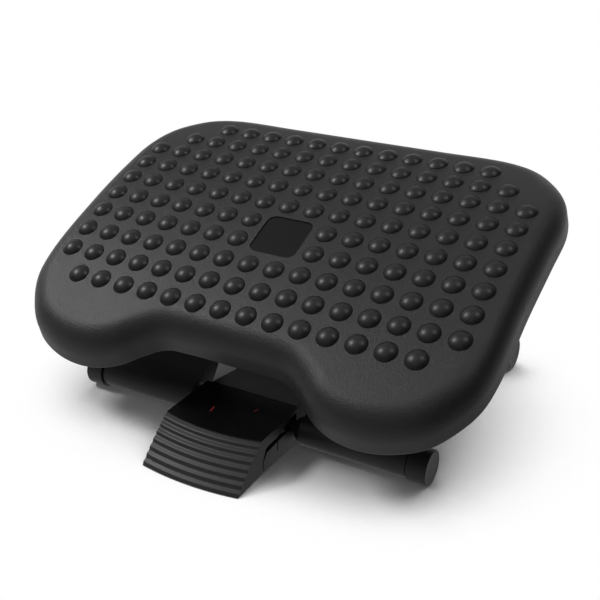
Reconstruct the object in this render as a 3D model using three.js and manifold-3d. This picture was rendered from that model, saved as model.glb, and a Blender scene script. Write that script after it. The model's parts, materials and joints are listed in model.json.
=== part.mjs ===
// A tilting under desk footrest: a domed deck on a swinging leg, a pedal that frees the leg and a floor frame
// Millimetres. X runs across, Y runs from the user towards the wall, Z is up, and the floor is Z = 0.
// The floor frame and the pedal are drawn with Y = 0 on the front axle, the leg along its own length, and the
// deck about the middle of its domes.
import * as THREE from "three";
import { mergeVertices } from "three/addons/utils/BufferGeometryUtils.js";
import Module from "manifold-3d";

const wasm = await Module();
wasm.setup();

// Clearances shared by all pieces
const fitGap = 0.3;
const overrun = 4;
const degree = Math.PI / 180;

// Pose in which the footrest stands
const deckTilt = 21.6;
const legAngle = 53.8;

// Deck
const deckWidth = 456;
const deckFrontReach = 183;
const deckRearReach = 156;
const crownRadius = 750;
const hollowStripPitches = 2;
const shoulderSteps = 4;
const hollowShoulderSteps = 2;
const skirtDrop = 32.5;
const skirtFlare = 0.9;
const shoulderRadius = 22;
const deckWall = 3.5;
const ribThickness = 2;
const ribDepth = 12;
const ribSpacing = 76;
const crossRibSpacing = 104;
const pivotDrop = 35;

// Half of the deck's outline from the front centre to the rear centre. The first number is a share of half
// the width. The second is a share of the front reach where it is negative and of the rear reach elsewhere.
const outlineShares = [
  [0, -0.794],
  [0.175, -0.794],
  [0.272, -0.806],
  [0.349, -0.864],
  [0.428, -0.942],
  [0.525, -0.99],
  [0.64, -1],
  [0.754, -0.971],
  [0.857, -0.906],
  [0.93, -0.803],
  [0.98, -0.685],
  [1, -0.535],
  [1, -0.164],
  [1, 0.192],
  [0.993, 0.498],
  [0.95, 0.704],
  [0.876, 0.844],
  [0.788, 0.941],
  [0.657, 0.996],
  [0.351, 1],
  [0, 1],
];
const outlineDivisions = 80;

// Domes, in rows from the wall to the user. Their grid is square, and its pitches are shares of the deck's
// width and of its depth.
const domeAcrossShare = 0.057;
const domeAlongShare = 0.0767;
const domePitchAcross = deckWidth * domeAcrossShare;
const domePitchAlong = (deckFrontReach + deckRearReach) * domeAlongShare;
const domeRadius = 10;
const domeHeight = 4.5;
const domeSink = 1;
const domesPerRow = [12, 14, 16, 16, 16, 16, 16, 16, 16, 14];
const domeSides = 8;
// The ring between a dome's foot and its top, as shares of the dome's own radius and height
const domeRingShare = 0.72;
const domeRingHeightShare = 0.66;

// Blank plate in the middle of the deck
const badgeSize = 47;
const badgeCorner = 8.5;
const badgeRecess = 2;
const badgeThickness = 1.1;

// Floor frame
const footRadius = 16.1;
const footHalfSpan = 179;
const rearHalfSpan = 173;
const footCapLength = 18;
const footCapWall = 7;
const footCapChamfer = 1;
const footSpacing = 229.4;
const rearTubeRadius = 14;
const rearTubeWall = 1.5;
const capGroove = 1.3;
const capPlugLength = 14;
const spineHalfWidth = 45;
const spineWall = 3;
const spineAxleGap = 0.4;
const spineFrontHeight = 33;
const spineBendHeight = 27;
const spineRearHeight = 24;
const spineBendBack = 46.4;
const spineFloorGap = 2;
const saddleWall = 3.2;
const saddleOpening = 6;
const clampScrewOffset = 28;

// Leg
const legLength = 161.2;
const beadStart = 51;
const beadRadius = 14;
const beadChamfer = 7;
const beadTipRadius = 9;
const legTopHalf = 88;
const legTopInset = 2;
const legTopStop = 9.2;
const legFace = 4.5;
const legSheet = 3.5;
const legWall = 3.5;
const legFlange = 28;
const legFootStart = 8;
const legFullWidthEnd = 28;
const archHalfWidth = 61;
const archTop = 70;
const archCorner = 18;
const pivotBossRadius = 11;
const gussetReach = 26;
const gussetHeight = 11.5;
// The middle of the gusset's hollow curve, as shares of its length and of its height over the leg's face
const gussetShares = [0.4, 0.3];

// Front axle and brake drum
const axleRadius = 6;
const bushWall = 1.7;
const drumRadius = 10;
const drumHalfWidth = 9;
const crossPinRadius = 1.5;
const axlePinOffset = 75;

// Tilt pivot
const pivotRodRadius = 4;
const washerRadius = 10;
const washerThickness = 1.2;
const bracketThickness = 3;
const bracketHalfLength = 40;
const bracketFlange = 22;
const bracketFoot = 2.5;
const nutRadius = 7.5;
const nutThickness = 5;
const rodTail = 2.5;
const screwRadius = 1.8;
const screwHeadRadius = 3.6;
const screwHeadHeight = 1.4;
const screwTipCover = 1.4;
const bossWall = 3.2;
const bossRadius = screwRadius + bossWall;

// Pedal cover. Heights are from the floor, and lengths from the front axle.
const pedalHalfWidth = 49;
const pedalTopHeight = 34;
const pedalFootHeight = 1;
const pedalFootAhead = 97.45;
const pedalTopAhead = 59.75;
const pedalBackBehind = 4.1;
const pedalHeelHeight = 2.2;
const pedalWall = 2.5;
const pedalFootBow = 4.65;
const pedalTopBow = 6.8;
const pedalFaceBulge = 1.25;
const gripRibs = 7;
const gripRibDepth = 1.5;
// Each rib is a step. Its crest lies at this share of its height, and its root at its foot.
const gripCrestShare = 0.42;
// How far up the face its hollow bends, as a share of the face
const hollowBendShare = 0.5;
const pedalSeamAhead = 57.5;
const pedalStations = 8;
const baseWall = 3;
const trayNose = 6;
const trayGap = 0.8;
// Side slit between the moving cover and the base: how far ahead of the axle, and how high, as shares of the
// seam's distance and of the pedal's height
const coverEdgeShares = [
  [1, 0.37],
  [0.91, 0.66],
  [0.83, 0.7],
  [0.585, 0.7],
  [0.36, 0.79],
  [0.17, 0.91],
];
const baseEdgeShares = [
  [1, 0.33],
  [0.9, 0.54],
  [0.585, 0.573],
  [0.3, 0.58],
  [0.03, 0.5],
];
const seamGap = 1.2;
const notchWidth = 1.5;
const notchAheadShare = 0.585;
const notchFootShare = 0.3;
const pedalPinAhead = 77.6;
const pedalPinHeight = 8;
const pedalPinRadius = 2;
const pedalLugRadius = 4;
const pedalLugWidth = 6;
const pedalLugOffset = 41;
const plungerAhead = 39.6;
const plungerHalfWidth = 8;
const plungerThickness = 3;

// Pedal base
const trayThickness = 3;
const trayHeight = 2;
const tongueLength = 42;
const tongueHalfWidth = 41;
const cheekOffset = 38;
const cheekThickness = 6;
const cheekAhead = 14;
const cheekBehind = 14;
const cheekTop = 26;
const padThickness = 1.7;
const padRadius = 8;
const padAcross = 28;
const padFrontAhead = 66;
const padRearAhead = 8;
const spineScrewAcross = 26;
const spineScrewFirst = 20;
const spineScrewSecond = 36;
const spineBossRadius = 5;

// Brake lever and its pin
const leverPinAhead = 23.6;
const leverPinHeight = 9;
const leverPinRadius = 2;
const leverHalfWidth = 7;
const leverToeAhead = 41.5;
const leverToeTop = 11.8;
const leverToeFoot = 8.4;
const leverHubRadius = 3.2;
const leverHornHeight = 21;
const leverHornThickness = 3;
const shoeThickness = 2;
const shoeHalfHeight = 4.5;
const leverPostOffset = 19;
const leverPostThickness = 4;
const leverPostRadius = 4;
const leverCoilRadius = 3.2;
const leverWireRadius = 0.5;
const leverCoilTurns = 3;
const leverCoilPitch = 1.6;

// Pedal return springs
const springRadius = 6;
const springWireRadius = 0.8;
const springTurns = 5;
const springAcross = 27;
const springAhead = 36;
const coilSteps = 8;
const wireSides = 4;

const roundSides = 24;
const smallSides = 12;
const screwSides = 8;
const nutSides = 6;
const cornerSteps = 4;
const badgeCornerSteps = 3;
const noseSteps = 8;

// Finishes
function plastic(color, roughness) {
  return new THREE.MeshStandardMaterial({ color, roughness, metalness: 0 });
}

function metal(color, roughness) {
  return new THREE.MeshStandardMaterial({ color, roughness, metalness: 1 });
}

const deckPlastic = plastic(0x2c2c2d, 0.55);
const pedalPlastic = plastic(0x18181a, 0.35);
const framePlastic = plastic(0x232325, 0.6);
const rubber = plastic(0x1b1b1c, 0.8);
const frictionPad = plastic(0x3a332c, 0.9);
const zincSteel = metal(0xa9abad, 0.35);
const blackSteel = metal(0x2a2b2d, 0.45);

// Closed solids from three.js geometry
function solid(geometry) {
  const bare = new THREE.BufferGeometry();
  bare.setAttribute("position", geometry.getAttribute("position"));
  bare.setIndex(geometry.index);
  const merged = mergeVertices(bare);
  const mesh = new wasm.Mesh({
    numProp: 3,
    vertProperties: new Float32Array(merged.attributes.position.array),
    triVerts: new Uint32Array(merged.index.array),
  });
  return new wasm.Manifold(mesh);
}

function geometryOf(manifold) {
  const mesh = manifold.getMesh();
  const geometry = new THREE.BufferGeometry();
  geometry.setAttribute("position", new THREE.BufferAttribute(new Float32Array(mesh.vertProperties), 3));
  geometry.setIndex(new THREE.BufferAttribute(new Uint32Array(mesh.triVerts), 1));
  geometry.computeVertexNormals();
  return geometry;
}

function joined(solids) {
  return solids.reduce((whole, piece) => whole.add(piece));
}

function cut(base, tools) {
  return tools.reduce((rest, tool) => rest.subtract(tool), base);
}

function addMesh(parent, name, manifold, material) {
  const mesh = new THREE.Mesh(geometryOf(manifold), material);
  mesh.name = name;
  parent.add(mesh);
}

const point = (x, y) => new THREE.Vector2(x, y);

// A prism of an outline in X and Y, between two heights
function uprightPrism(outline, bottom, top) {
  const geometry = new THREE.ExtrudeGeometry(new THREE.Shape(outline), {
    depth: top - bottom,
    bevelEnabled: false,
  });
  geometry.translate(0, 0, bottom);
  return solid(geometry);
}

// A prism of an outline in Y and Z, between two places across
const alongX = new THREE.Matrix4().makeBasis(
  new THREE.Vector3(0, 1, 0),
  new THREE.Vector3(0, 0, 1),
  new THREE.Vector3(1, 0, 0),
);

function crossPrism(outline, left, right) {
  const geometry = new THREE.ExtrudeGeometry(new THREE.Shape(outline), {
    depth: right - left,
    bevelEnabled: false,
  });
  geometry.applyMatrix4(alongX);
  geometry.translate(left, 0, 0);
  return solid(geometry);
}

// A regular outline whose corners lie on the radius, and one whose flats do, with a flat facing down
function cornerCircle(radius, sides, x, y) {
  const outline = [];
  for (let i = 0; i < sides; i++) {
    const angle = ((i + 0.5) / sides) * 2 * Math.PI;
    outline.push(point(x + radius * Math.cos(angle), y + radius * Math.sin(angle)));
  }
  return outline;
}

function flatCircle(radius, sides, x, y) {
  return cornerCircle(radius / Math.cos(Math.PI / sides), sides, x, y);
}

function crossRod(radius, sides, left, right, y, z) {
  return crossPrism(cornerCircle(radius, sides, y, z), left, right);
}

function crossHole(radius, sides, left, right, y, z) {
  return crossPrism(flatCircle(radius, sides, y, z), left, right);
}

function uprightRod(radius, sides, x, y, bottom, top) {
  return uprightPrism(cornerCircle(radius, sides, x, y), bottom, top);
}

function uprightHole(radius, sides, x, y, bottom, top) {
  return uprightPrism(flatCircle(radius, sides, x, y), bottom, top);
}

function crossBox(left, right, front, back, bottom, top) {
  const outline = [point(front, bottom), point(back, bottom), point(back, top), point(front, top)];
  return crossPrism(outline, left, right);
}

// The side faces between rings of points, and the solid that they close with a hub in each end ring
function sideFaces(ringCount, count) {
  const faces = [];
  for (let ring = 0; ring < ringCount - 1; ring++) {
    for (let i = 0; i < count; i++) {
      const here = ring * count + i;
      const next = ring * count + ((i + 1) % count);
      faces.push(here, next, next + count);
      faces.push(here, next + count, here + count);
    }
  }
  return faces;
}

function meshSolid(points, faces) {
  const geometry = new THREE.BufferGeometry();
  geometry.setAttribute("position", new THREE.Float32BufferAttribute(points.flatMap((p) => p.toArray()), 3));
  geometry.setIndex(faces);
  return solid(geometry);
}

// Rings run anticlockwise as seen from the last ring
function hubbed(rings, firstHub, lastHub) {
  const count = rings[0].length;
  const last = (rings.length - 1) * count;
  const hub = rings.length * count;
  const faces = sideFaces(rings.length, count);
  for (let i = 0; i < count; i++) {
    const next = (i + 1) % count;
    faces.push(hub, next, i);
    faces.push(hub + 1, last + i, last + next);
  }
  return meshSolid([...rings.flat(), firstHub, lastHub], faces);
}

function stacked(rings, capFaces) {
  const count = rings[0].length;
  const last = (rings.length - 1) * count;
  const faces = sideFaces(rings.length, count);
  for (const [a, b, c] of capFaces) {
    faces.push(c, b, a);
    faces.push(last + a, last + b, last + c);
  }
  return meshSolid(rings.flat(), faces);
}

// A solid of revolution about X, from places across in rising order and radii that its flats keep
function turned(profile, sides, y, z) {
  const rings = profile.map(([x, radius]) =>
    flatCircle(radius, sides, y, z).map((p) => new THREE.Vector3(x, p.x, p.y)),
  );
  const firstHub = new THREE.Vector3(profile[0][0], y, z);
  const lastHub = new THREE.Vector3(profile[profile.length - 1][0], y, z);
  return hubbed(rings, firstHub, lastHub);
}

// A right hand profile or span as it stands, or mirrored for the left
const hands = [
  ["left", -1],
  ["right", 1],
];

function sideProfile(profile, side) {
  return side > 0 ? profile : profile.map(([x, radius]) => [-x, radius]).reverse();
}

function sideSpan(side, near, far) {
  return side > 0 ? [near, far] : [-far, -near];
}

// A closed anticlockwise outline moved inwards by a distance
function inset(outline, distance) {
  return outline.map((corner, i) => {
    const before = outline[(i + outline.length - 1) % outline.length];
    const after = outline[(i + 1) % outline.length];
    const arriving = corner.clone().sub(before).normalize();
    const leaving = after.clone().sub(corner).normalize();
    const first = point(-arriving.y, arriving.x);
    const second = point(-leaving.y, leaving.x);
    const mitre = distance / (1 + first.dot(second));
    return corner.clone().addScaledVector(first.add(second), mitre);
  });
}

// The rings of a helical wire about an upright axis
function coilRings(radius, wire, turns, bottom, top) {
  const steps = turns * coilSteps;
  const rise = top - bottom - 2 * wire;
  const rings = [];
  for (let step = 0; step <= steps; step++) {
    const angle = (step / coilSteps) * 2 * Math.PI;
    const height = bottom + wire + (rise * step) / steps;
    const ring = [];
    for (let side = 0; side < wireSides; side++) {
      const around = (side / wireSides) * 2 * Math.PI;
      const reach = radius + wire * Math.cos(around);
      const rim = height + wire * Math.sin(around);
      ring.unshift(new THREE.Vector3(reach * Math.cos(angle), reach * Math.sin(angle), rim));
    }
    rings.push(ring);
  }
  return rings;
}

function coil(rings) {
  const cap = THREE.ShapeUtils.triangulateShape(cornerCircle(1, wireSides, 0, 0), []);
  return stacked(rings, cap);
}

// A round headed screw that stands on its head or hangs from it, with its head on the far side of the seat
function screw(x, y, seat, tip) {
  const way = Math.sign(tip - seat);
  const headNear = seat - way * fitGap;
  const headFar = headNear - way * screwHeadHeight;
  const neck = headNear - (way * screwHeadHeight) / 2;
  const [headFoot, headTop] = [headNear, headFar].sort((a, b) => a - b);
  const [shankFoot, shankTop] = [neck, tip].sort((a, b) => a - b);
  const head = uprightRod(screwHeadRadius, smallSides, x, y, headFoot, headTop);
  const shank = uprightRod(screwRadius, screwSides, x, y, shankFoot, shankTop);
  return head.add(shank);
}

function screwHole(x, y, bottom, top) {
  return uprightHole(screwRadius + fitGap, screwSides, x, y, bottom, top);
}

// Deck, drawn about the middle of its domes with Z = 0 on the crown
const crownDrop = (y) => crownRadius - Math.sqrt(crownRadius * crownRadius - y * y);
const deckHalf = deckWidth / 2;

// A slab that follows the crown from past the front to past the rear. Its flats meet between the rows of
// domes, with the given number of rows on each flat.
function crownSlab(left, right, bottom, top, pitches) {
  const strip = domePitchAlong * pitches;
  const first = -Math.ceil((deckFrontReach + overrun) / strip);
  const last = Math.ceil((deckRearReach + overrun) / strip);
  const upper = [];
  const lower = [];
  for (let i = first; i <= last; i++) {
    const y = i * strip;
    lower.push(point(y, bottom - crownDrop(y)));
    upper.unshift(point(y, top - crownDrop(y)));
  }
  return crossPrism([...lower, ...upper], left, right);
}

function deckSlab(bottom, top, pitches) {
  const reach = deckHalf + overrun;
  return crownSlab(-reach, reach, bottom, top, pitches);
}

function deckOutline() {
  const half = outlineShares.map(([across, along]) => {
    const reach = along < 0 ? deckFrontReach : deckRearReach;
    return new THREE.Vector3(across * deckHalf, along * reach, 0);
  });
  const mirrored = half.slice(1, -1).map((p) => new THREE.Vector3(-p.x, p.y, 0));
  const curve = new THREE.CatmullRomCurve3([...half, ...mirrored.reverse()], true, "centripetal");
  const outline = [];
  for (let i = 0; i < outlineDivisions; i++) {
    const place = curve.getPoint(i / outlineDivisions);
    outline.push(point(place.x, place.y));
  }
  return outline;
}

// The deck's form with its rolled shoulder, or its hollow when it is drawn a wall smaller. It runs on past
// the rim and the crown, where slabs trim it.
function deckBlock(wall, steps) {
  const outline = deckOutline();
  const radius = shoulderRadius - wall;
  const levels = [
    [wall, -skirtDrop - overrun],
    [wall + skirtFlare, -shoulderRadius],
  ];
  for (let i = 1; i < steps; i++) {
    const angle = ((i / steps) * Math.PI) / 2;
    const inwards = radius * (1 - Math.cos(angle));
    levels.push([wall + skirtFlare + inwards, radius * Math.sin(angle) - shoulderRadius]);
  }
  levels.push([shoulderRadius + skirtFlare, fitGap - wall]);
  levels.push([shoulderRadius + skirtFlare, overrun]);
  const rings = levels.map(([distance, height]) =>
    inset(outline, distance).map((p) => new THREE.Vector3(p.x, p.y, height - crownDrop(p.y))),
  );
  return hubbed(rings, new THREE.Vector3(0, 0, -skirtDrop - overrun), new THREE.Vector3(0, 0, overrun));
}

function dome(x, y) {
  const base = -crownDrop(y);
  const rings = [
    [domeRadius + domeSink / 2, -domeSink],
    [domeRadius * domeRingShare, domeHeight * domeRingHeightShare],
  ].map(([radius, height]) =>
    cornerCircle(radius, domeSides, x, y).map((p) => new THREE.Vector3(p.x, p.y, base + height)),
  );
  return hubbed(rings, new THREE.Vector3(x, y, base - domeSink), new THREE.Vector3(x, y, base + domeHeight));
}

const badgeCentre = -domePitchAlong;

// Where the domes stand: centred rows, without the places that the badge takes
function domePlaces() {
  const places = [];
  domesPerRow.forEach((count, row) => {
    const y = ((domesPerRow.length - 1) / 2 - row) * domePitchAlong;
    for (let column = 0; column < count; column++) {
      const x = (column - (count - 1) / 2) * domePitchAcross;
      const underBadge = Math.abs(x) < badgeSize / 2 && Math.abs(y - badgeCentre) < badgeSize / 2;
      if (!underBadge) places.push([x, y]);
    }
  });
  return places;
}

function roundedSquare(size, corner, x, y) {
  const outline = [];
  const reach = size / 2 - corner;
  const quarters = 4;
  for (let quarter = 0; quarter < quarters; quarter++) {
    const turn = (quarter * Math.PI) / 2;
    const across = Math.sign(Math.cos(turn + Math.PI / 4)) * reach;
    const along = Math.sign(Math.sin(turn + Math.PI / 4)) * reach;
    for (let i = 0; i <= badgeCornerSteps; i++) {
      const angle = turn + ((i / badgeCornerSteps) * Math.PI) / 2;
      outline.push(point(x + across + corner * Math.cos(angle), y + along + corner * Math.sin(angle)));
    }
  }
  return outline;
}

function badgeSlab(shrink, bottom, top) {
  const outline = roundedSquare(badgeSize - 2 * shrink, badgeCorner - shrink, 0, badgeCentre);
  return uprightPrism(outline, -overrun * 2, overrun * 2).intersect(deckSlab(bottom, top, 1));
}

// The bracket's foot lies under the crown, and short bosses come down to it
const bracketFootTop = -deckWall - crownDrop(bracketHalfLength) - 2 * fitGap;
const bracketFootBottom = bracketFootTop - bracketFoot;
const bracketNear = legTopHalf + 2 * fitGap + washerThickness;
const bracketFar = bracketNear + bracketThickness;
const bracketScrewAcross = bracketFar + bracketFlange / 2;
const bracketScrewAlong = bracketHalfLength - bossRadius * 2;

function bracketScrewPlaces(side) {
  return [-1, 1].map((end) => [side * bracketScrewAcross, end * bracketScrewAlong]);
}

function deckRibs() {
  const ribs = [];
  const bottom = -deckWall - ribDepth;
  const top = -deckWall / 2;
  for (let x = ribSpacing; x < deckHalf - shoulderRadius; x += ribSpacing) {
    for (const side of [-1, 1]) {
      const left = side * x - ribThickness / 2;
      const right = left + ribThickness;
      ribs.push(crownSlab(left, right, bottom, top, hollowStripPitches));
    }
  }
  for (let y = crossRibSpacing; y < deckRearReach - shoulderRadius; y += crossRibSpacing) {
    for (const end of [-1, 1]) {
      const front = end * y - ribThickness / 2;
      const drop = crownDrop(y);
      ribs.push(crossBox(-deckHalf, deckHalf, front, front + ribThickness, bottom - drop, top - drop));
    }
  }
  return joined(ribs);
}

function deckShell() {
  const form = deckBlock(0, shoulderSteps).intersect(deckSlab(-skirtDrop, 0, 1));
  const under = deckSlab(-skirtDrop - 2 * overrun, -deckWall, hollowStripPitches);
  const hollow = deckBlock(deckWall, hollowShoulderSteps).intersect(under);
  const bosses = [];
  const holes = [];
  for (const [, side] of hands) {
    for (const [x, y] of bracketScrewPlaces(side)) {
      bosses.push(uprightRod(bossRadius, smallSides, x, y, bracketFootTop + fitGap, -deckWall / 2));
      holes.push(screwHole(x, y, bracketFootTop - overrun, -screwTipCover));
    }
  }
  const shell = form.subtract(hollow).add(deckRibs().intersect(form));
  const domed = joined([shell, ...bosses, ...domePlaces().map(([x, y]) => dome(x, y))]);
  return cut(domed, [...holes, badgeSlab(0, -badgeRecess, overrun)]);
}

function deckBracket(side) {
  const nose = [];
  for (let i = 1; i < noseSteps; i++) {
    const angle = Math.PI + (i / noseSteps) * Math.PI;
    nose.push(point(washerRadius * Math.cos(angle), washerRadius * Math.sin(angle) - pivotDrop));
  }
  const shoulder = bracketFootBottom - bracketThickness;
  const outline = [
    point(-bracketHalfLength, bracketFootTop),
    point(-bracketHalfLength, shoulder),
    ...nose,
    point(bracketHalfLength, shoulder),
    point(bracketHalfLength, bracketFootTop),
  ];
  const [left, right] = sideSpan(side, bracketNear, bracketFar);
  const plate = crossPrism(outline, left, right);
  const [footLeft, footRight] = sideSpan(side, bracketNear, bracketFar + bracketFlange);
  const foot = crossBox(
    footLeft, footRight, -bracketHalfLength, bracketHalfLength, bracketFootBottom, bracketFootTop,
  );
  const holes = bracketScrewPlaces(side).map(([x, y]) =>
    screwHole(x, y, bracketFootBottom - overrun, bracketFootTop + overrun),
  );
  holes.push(crossHole(pivotRodRadius + fitGap, smallSides, left - overrun, right + overrun, 0, -pivotDrop));
  return cut(plate.add(foot), holes);
}

function frictionWasher(side) {
  const [left, right] = sideSpan(side, legTopHalf + fitGap, legTopHalf + fitGap + washerThickness);
  const bore = crossHole(pivotRodRadius + fitGap, smallSides, left - overrun, right + overrun, 0, -pivotDrop);
  return crossRod(washerRadius, smallSides, left, right, 0, -pivotDrop).subtract(bore);
}

function addDeck(group) {
  addMesh(group, "deck_shell", deckShell(), deckPlastic);
  const badge = badgeSlab(fitGap, fitGap - badgeRecess, fitGap - badgeRecess + badgeThickness);
  addMesh(group, "badge_plate", badge, pedalPlastic);
  for (const [name, side] of hands) {
    addMesh(group, `deck_bracket_${name}`, deckBracket(side), blackSteel);
    addMesh(group, `friction_washer_${name}`, frictionWasher(side), frictionPad);
    bracketScrewPlaces(side).forEach(([x, y], i) => {
      const tip = -screwTipCover - fitGap;
      addMesh(group, `bracket_screw_${name}_${i + 1}`, screw(x, y, bracketFootBottom, tip), zincSteel);
    });
  }
}

// Leg, drawn with Y along its length from the front axle and Z out of its face
const beadEnd = footHalfSpan - footCapLength - capGroove;
const legBack = legFace - legFlange;
const legTopEdge = legLength - legTopStop;

function legOutline() {
  const corner = [];
  for (let i = 0; i <= cornerSteps; i++) {
    const angle = ((i / cornerSteps) * Math.PI) / 2;
    const x = archHalfWidth - archCorner + archCorner * Math.sin(angle);
    corner.push(point(x, archTop - archCorner + archCorner * Math.cos(angle)));
  }
  return [
    point(archHalfWidth, legFootStart),
    point(beadEnd, legFootStart),
    point(beadEnd, legFullWidthEnd),
    point(legTopHalf - legTopInset, legTopEdge),
    point(legTopInset - legTopHalf, legTopEdge),
    point(-beadEnd, legFullWidthEnd),
    point(-beadEnd, legFootStart),
    point(-archHalfWidth, legFootStart),
    ...corner.map((p) => point(-p.x, p.y)).reverse(),
    ...corner,
  ];
}

function legBead(side) {
  const profile = [
    [beadStart, beadTipRadius],
    [beadStart + beadChamfer, beadRadius],
    [beadEnd, beadRadius],
  ];
  return turned(sideProfile(profile, side), roundSides, 0, 0);
}

function legGusset(side) {
  const rise = gussetHeight - legFace;
  const [alongShare, heightShare] = gussetShares;
  const outline = [
    point(0, 0),
    point(gussetReach, legFace - legSheet),
    point(gussetReach, legFace),
    point(legFootStart + (gussetReach - legFootStart) * alongShare, legFace + rise * heightShare),
    point(legFootStart, gussetHeight),
  ];
  const [left, right] = sideSpan(side, beadStart + beadChamfer, beadEnd);
  return crossPrism(outline, left, right);
}

// The pins go in from the back of the leg and stay blind, so none shows from the front
const crossPinTip = axleRadius + crossPinRadius;

function crossPinHole(x) {
  return uprightHole(crossPinRadius + fitGap, screwSides, x, 0, -beadRadius - overrun, crossPinTip + fitGap);
}

function legShell() {
  const outline = legOutline();
  const form = uprightPrism(outline, legBack, legFace);
  const hollow = uprightPrism(inset(outline, legWall), legBack - overrun, legFace - legSheet);
  const beads = hands.flatMap(([, side]) => [legBead(side), legGusset(side)]);
  const boss = crossRod(pivotBossRadius, smallSides, -legTopHalf, legTopHalf, legLength, 0);
  const reach = beadEnd + overrun;
  const whole = joined([form.subtract(hollow), ...beads, boss]);
  return cut(whole, [
    crossHole(axleRadius + fitGap, roundSides, -reach, reach, 0, 0),
    crossHole(pivotRodRadius + fitGap, smallSides, -reach, reach, legLength, 0),
    crossPinHole(-axlePinOffset),
    crossPinHole(axlePinOffset),
  ]);
}

const pivotRodEnd = bracketFar + fitGap + nutThickness + rodTail;
const axleEnd = footHalfSpan - footCapWall - fitGap;

function pivotNut(side) {
  const [left, right] = sideSpan(side, bracketFar + fitGap, bracketFar + fitGap + nutThickness);
  const bore = crossHole(pivotRodRadius + fitGap, smallSides, left - overrun, right + overrun, legLength, 0);
  return crossRod(nutRadius, nutSides, left, right, legLength, 0).subtract(bore);
}

function crossPin(x, reach) {
  return uprightRod(crossPinRadius, screwSides, x, 0, fitGap - reach, crossPinTip);
}

function addLeg(group) {
  const axle = crossRod(axleRadius, roundSides, -axleEnd, axleEnd, 0, 0);
  const drum = crossRod(drumRadius, roundSides, -drumHalfWidth, drumHalfWidth, 0, 0);
  const boreEnd = drumHalfWidth + overrun;
  const drumBore = crossHole(axleRadius + fitGap, roundSides, -boreEnd, boreEnd, 0, 0);
  const pivotRod = crossRod(pivotRodRadius, smallSides, -pivotRodEnd, pivotRodEnd, legLength, 0);
  const pinHoles = [-axlePinOffset, 0, axlePinOffset].map(crossPinHole);
  addMesh(group, "leg_shell", legShell(), framePlastic);
  addMesh(group, "front_axle", cut(axle, pinHoles), blackSteel);
  addMesh(group, "brake_drum", cut(drum, [drumBore, crossPinHole(0)]), zincSteel);
  addMesh(group, "drum_pin", crossPin(0, drumRadius), zincSteel);
  addMesh(group, "pivot_rod", pivotRod, zincSteel);
  for (const [name, side] of hands) {
    addMesh(group, `axle_pin_${name}`, crossPin(side * axlePinOffset, beadRadius), zincSteel);
    addMesh(group, `pivot_nut_${name}`, pivotNut(side), zincSteel);
  }
}

// Pedal cover, lofted across its width because its front is bowed
const pedalInnerHalf = pedalHalfWidth - pedalWall;
const pedalLugEnd = pedalLugOffset + pedalLugWidth / 2;
const faceAngle = Math.atan2(pedalTopHeight - pedalFootHeight, pedalFootAhead - pedalTopAhead);
const pedalCeiling = pedalTopHeight - pedalWall;

// A point of the front face: a share of the way up, and how deep under the face
function facePoint(x, upShare, depth) {
  const bowShare = 1 - (x / pedalHalfWidth) ** 2;
  const foot = -pedalFootAhead - pedalFootBow * bowShare;
  const top = -pedalTopAhead - pedalTopBow * bowShare;
  const proud = pedalFaceBulge * Math.sin(Math.PI * upShare) - depth;
  const y = foot + (top - foot) * upShare - Math.sin(faceAngle) * proud;
  const z = pedalFootHeight + (pedalTopHeight - pedalFootHeight) * upShare + Math.cos(faceAngle) * proud;
  return point(y, z);
}

function coverOutline(x) {
  const grip = [];
  for (let rib = gripRibs - 1; rib >= 0; rib--) {
    grip.push(facePoint(x, (rib + gripCrestShare) / gripRibs, 0));
    if (rib > 0) grip.push(facePoint(x, rib / gripRibs, gripRibDepth));
  }
  const brink = facePoint(x, 1, gripRibDepth);
  return [
    facePoint(x, 0, gripRibDepth / 2),
    point(-pedalSeamAhead, pedalHeelHeight),
    point(pedalBackBehind, pedalHeelHeight),
    point(pedalBackBehind, pedalTopHeight),
    point(brink.x, pedalTopHeight),
    brink,
    ...grip,
  ];
}

function coverHollowOutline(x) {
  const depth = gripRibDepth + pedalWall;
  const top = facePoint(x, 1, depth);
  return [
    facePoint(x, 0, depth).setY(-overrun),
    point(pedalBackBehind + overrun, -overrun),
    point(pedalBackBehind + overrun, pedalCeiling),
    point(top.x + pedalWall, pedalCeiling),
    facePoint(x, hollowBendShare, depth),
  ];
}

function loftedAcross(outlineAt, half) {
  const rings = [];
  for (let i = 0; i <= pedalStations; i++) {
    const x = half * ((2 * i) / pedalStations - 1);
    rings.push(outlineAt(x).map((p) => new THREE.Vector3(x, p.x, p.y)));
  }
  const cap = THREE.ShapeUtils.triangulateShape(outlineAt(half), []);
  return stacked(rings, cap);
}

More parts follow.
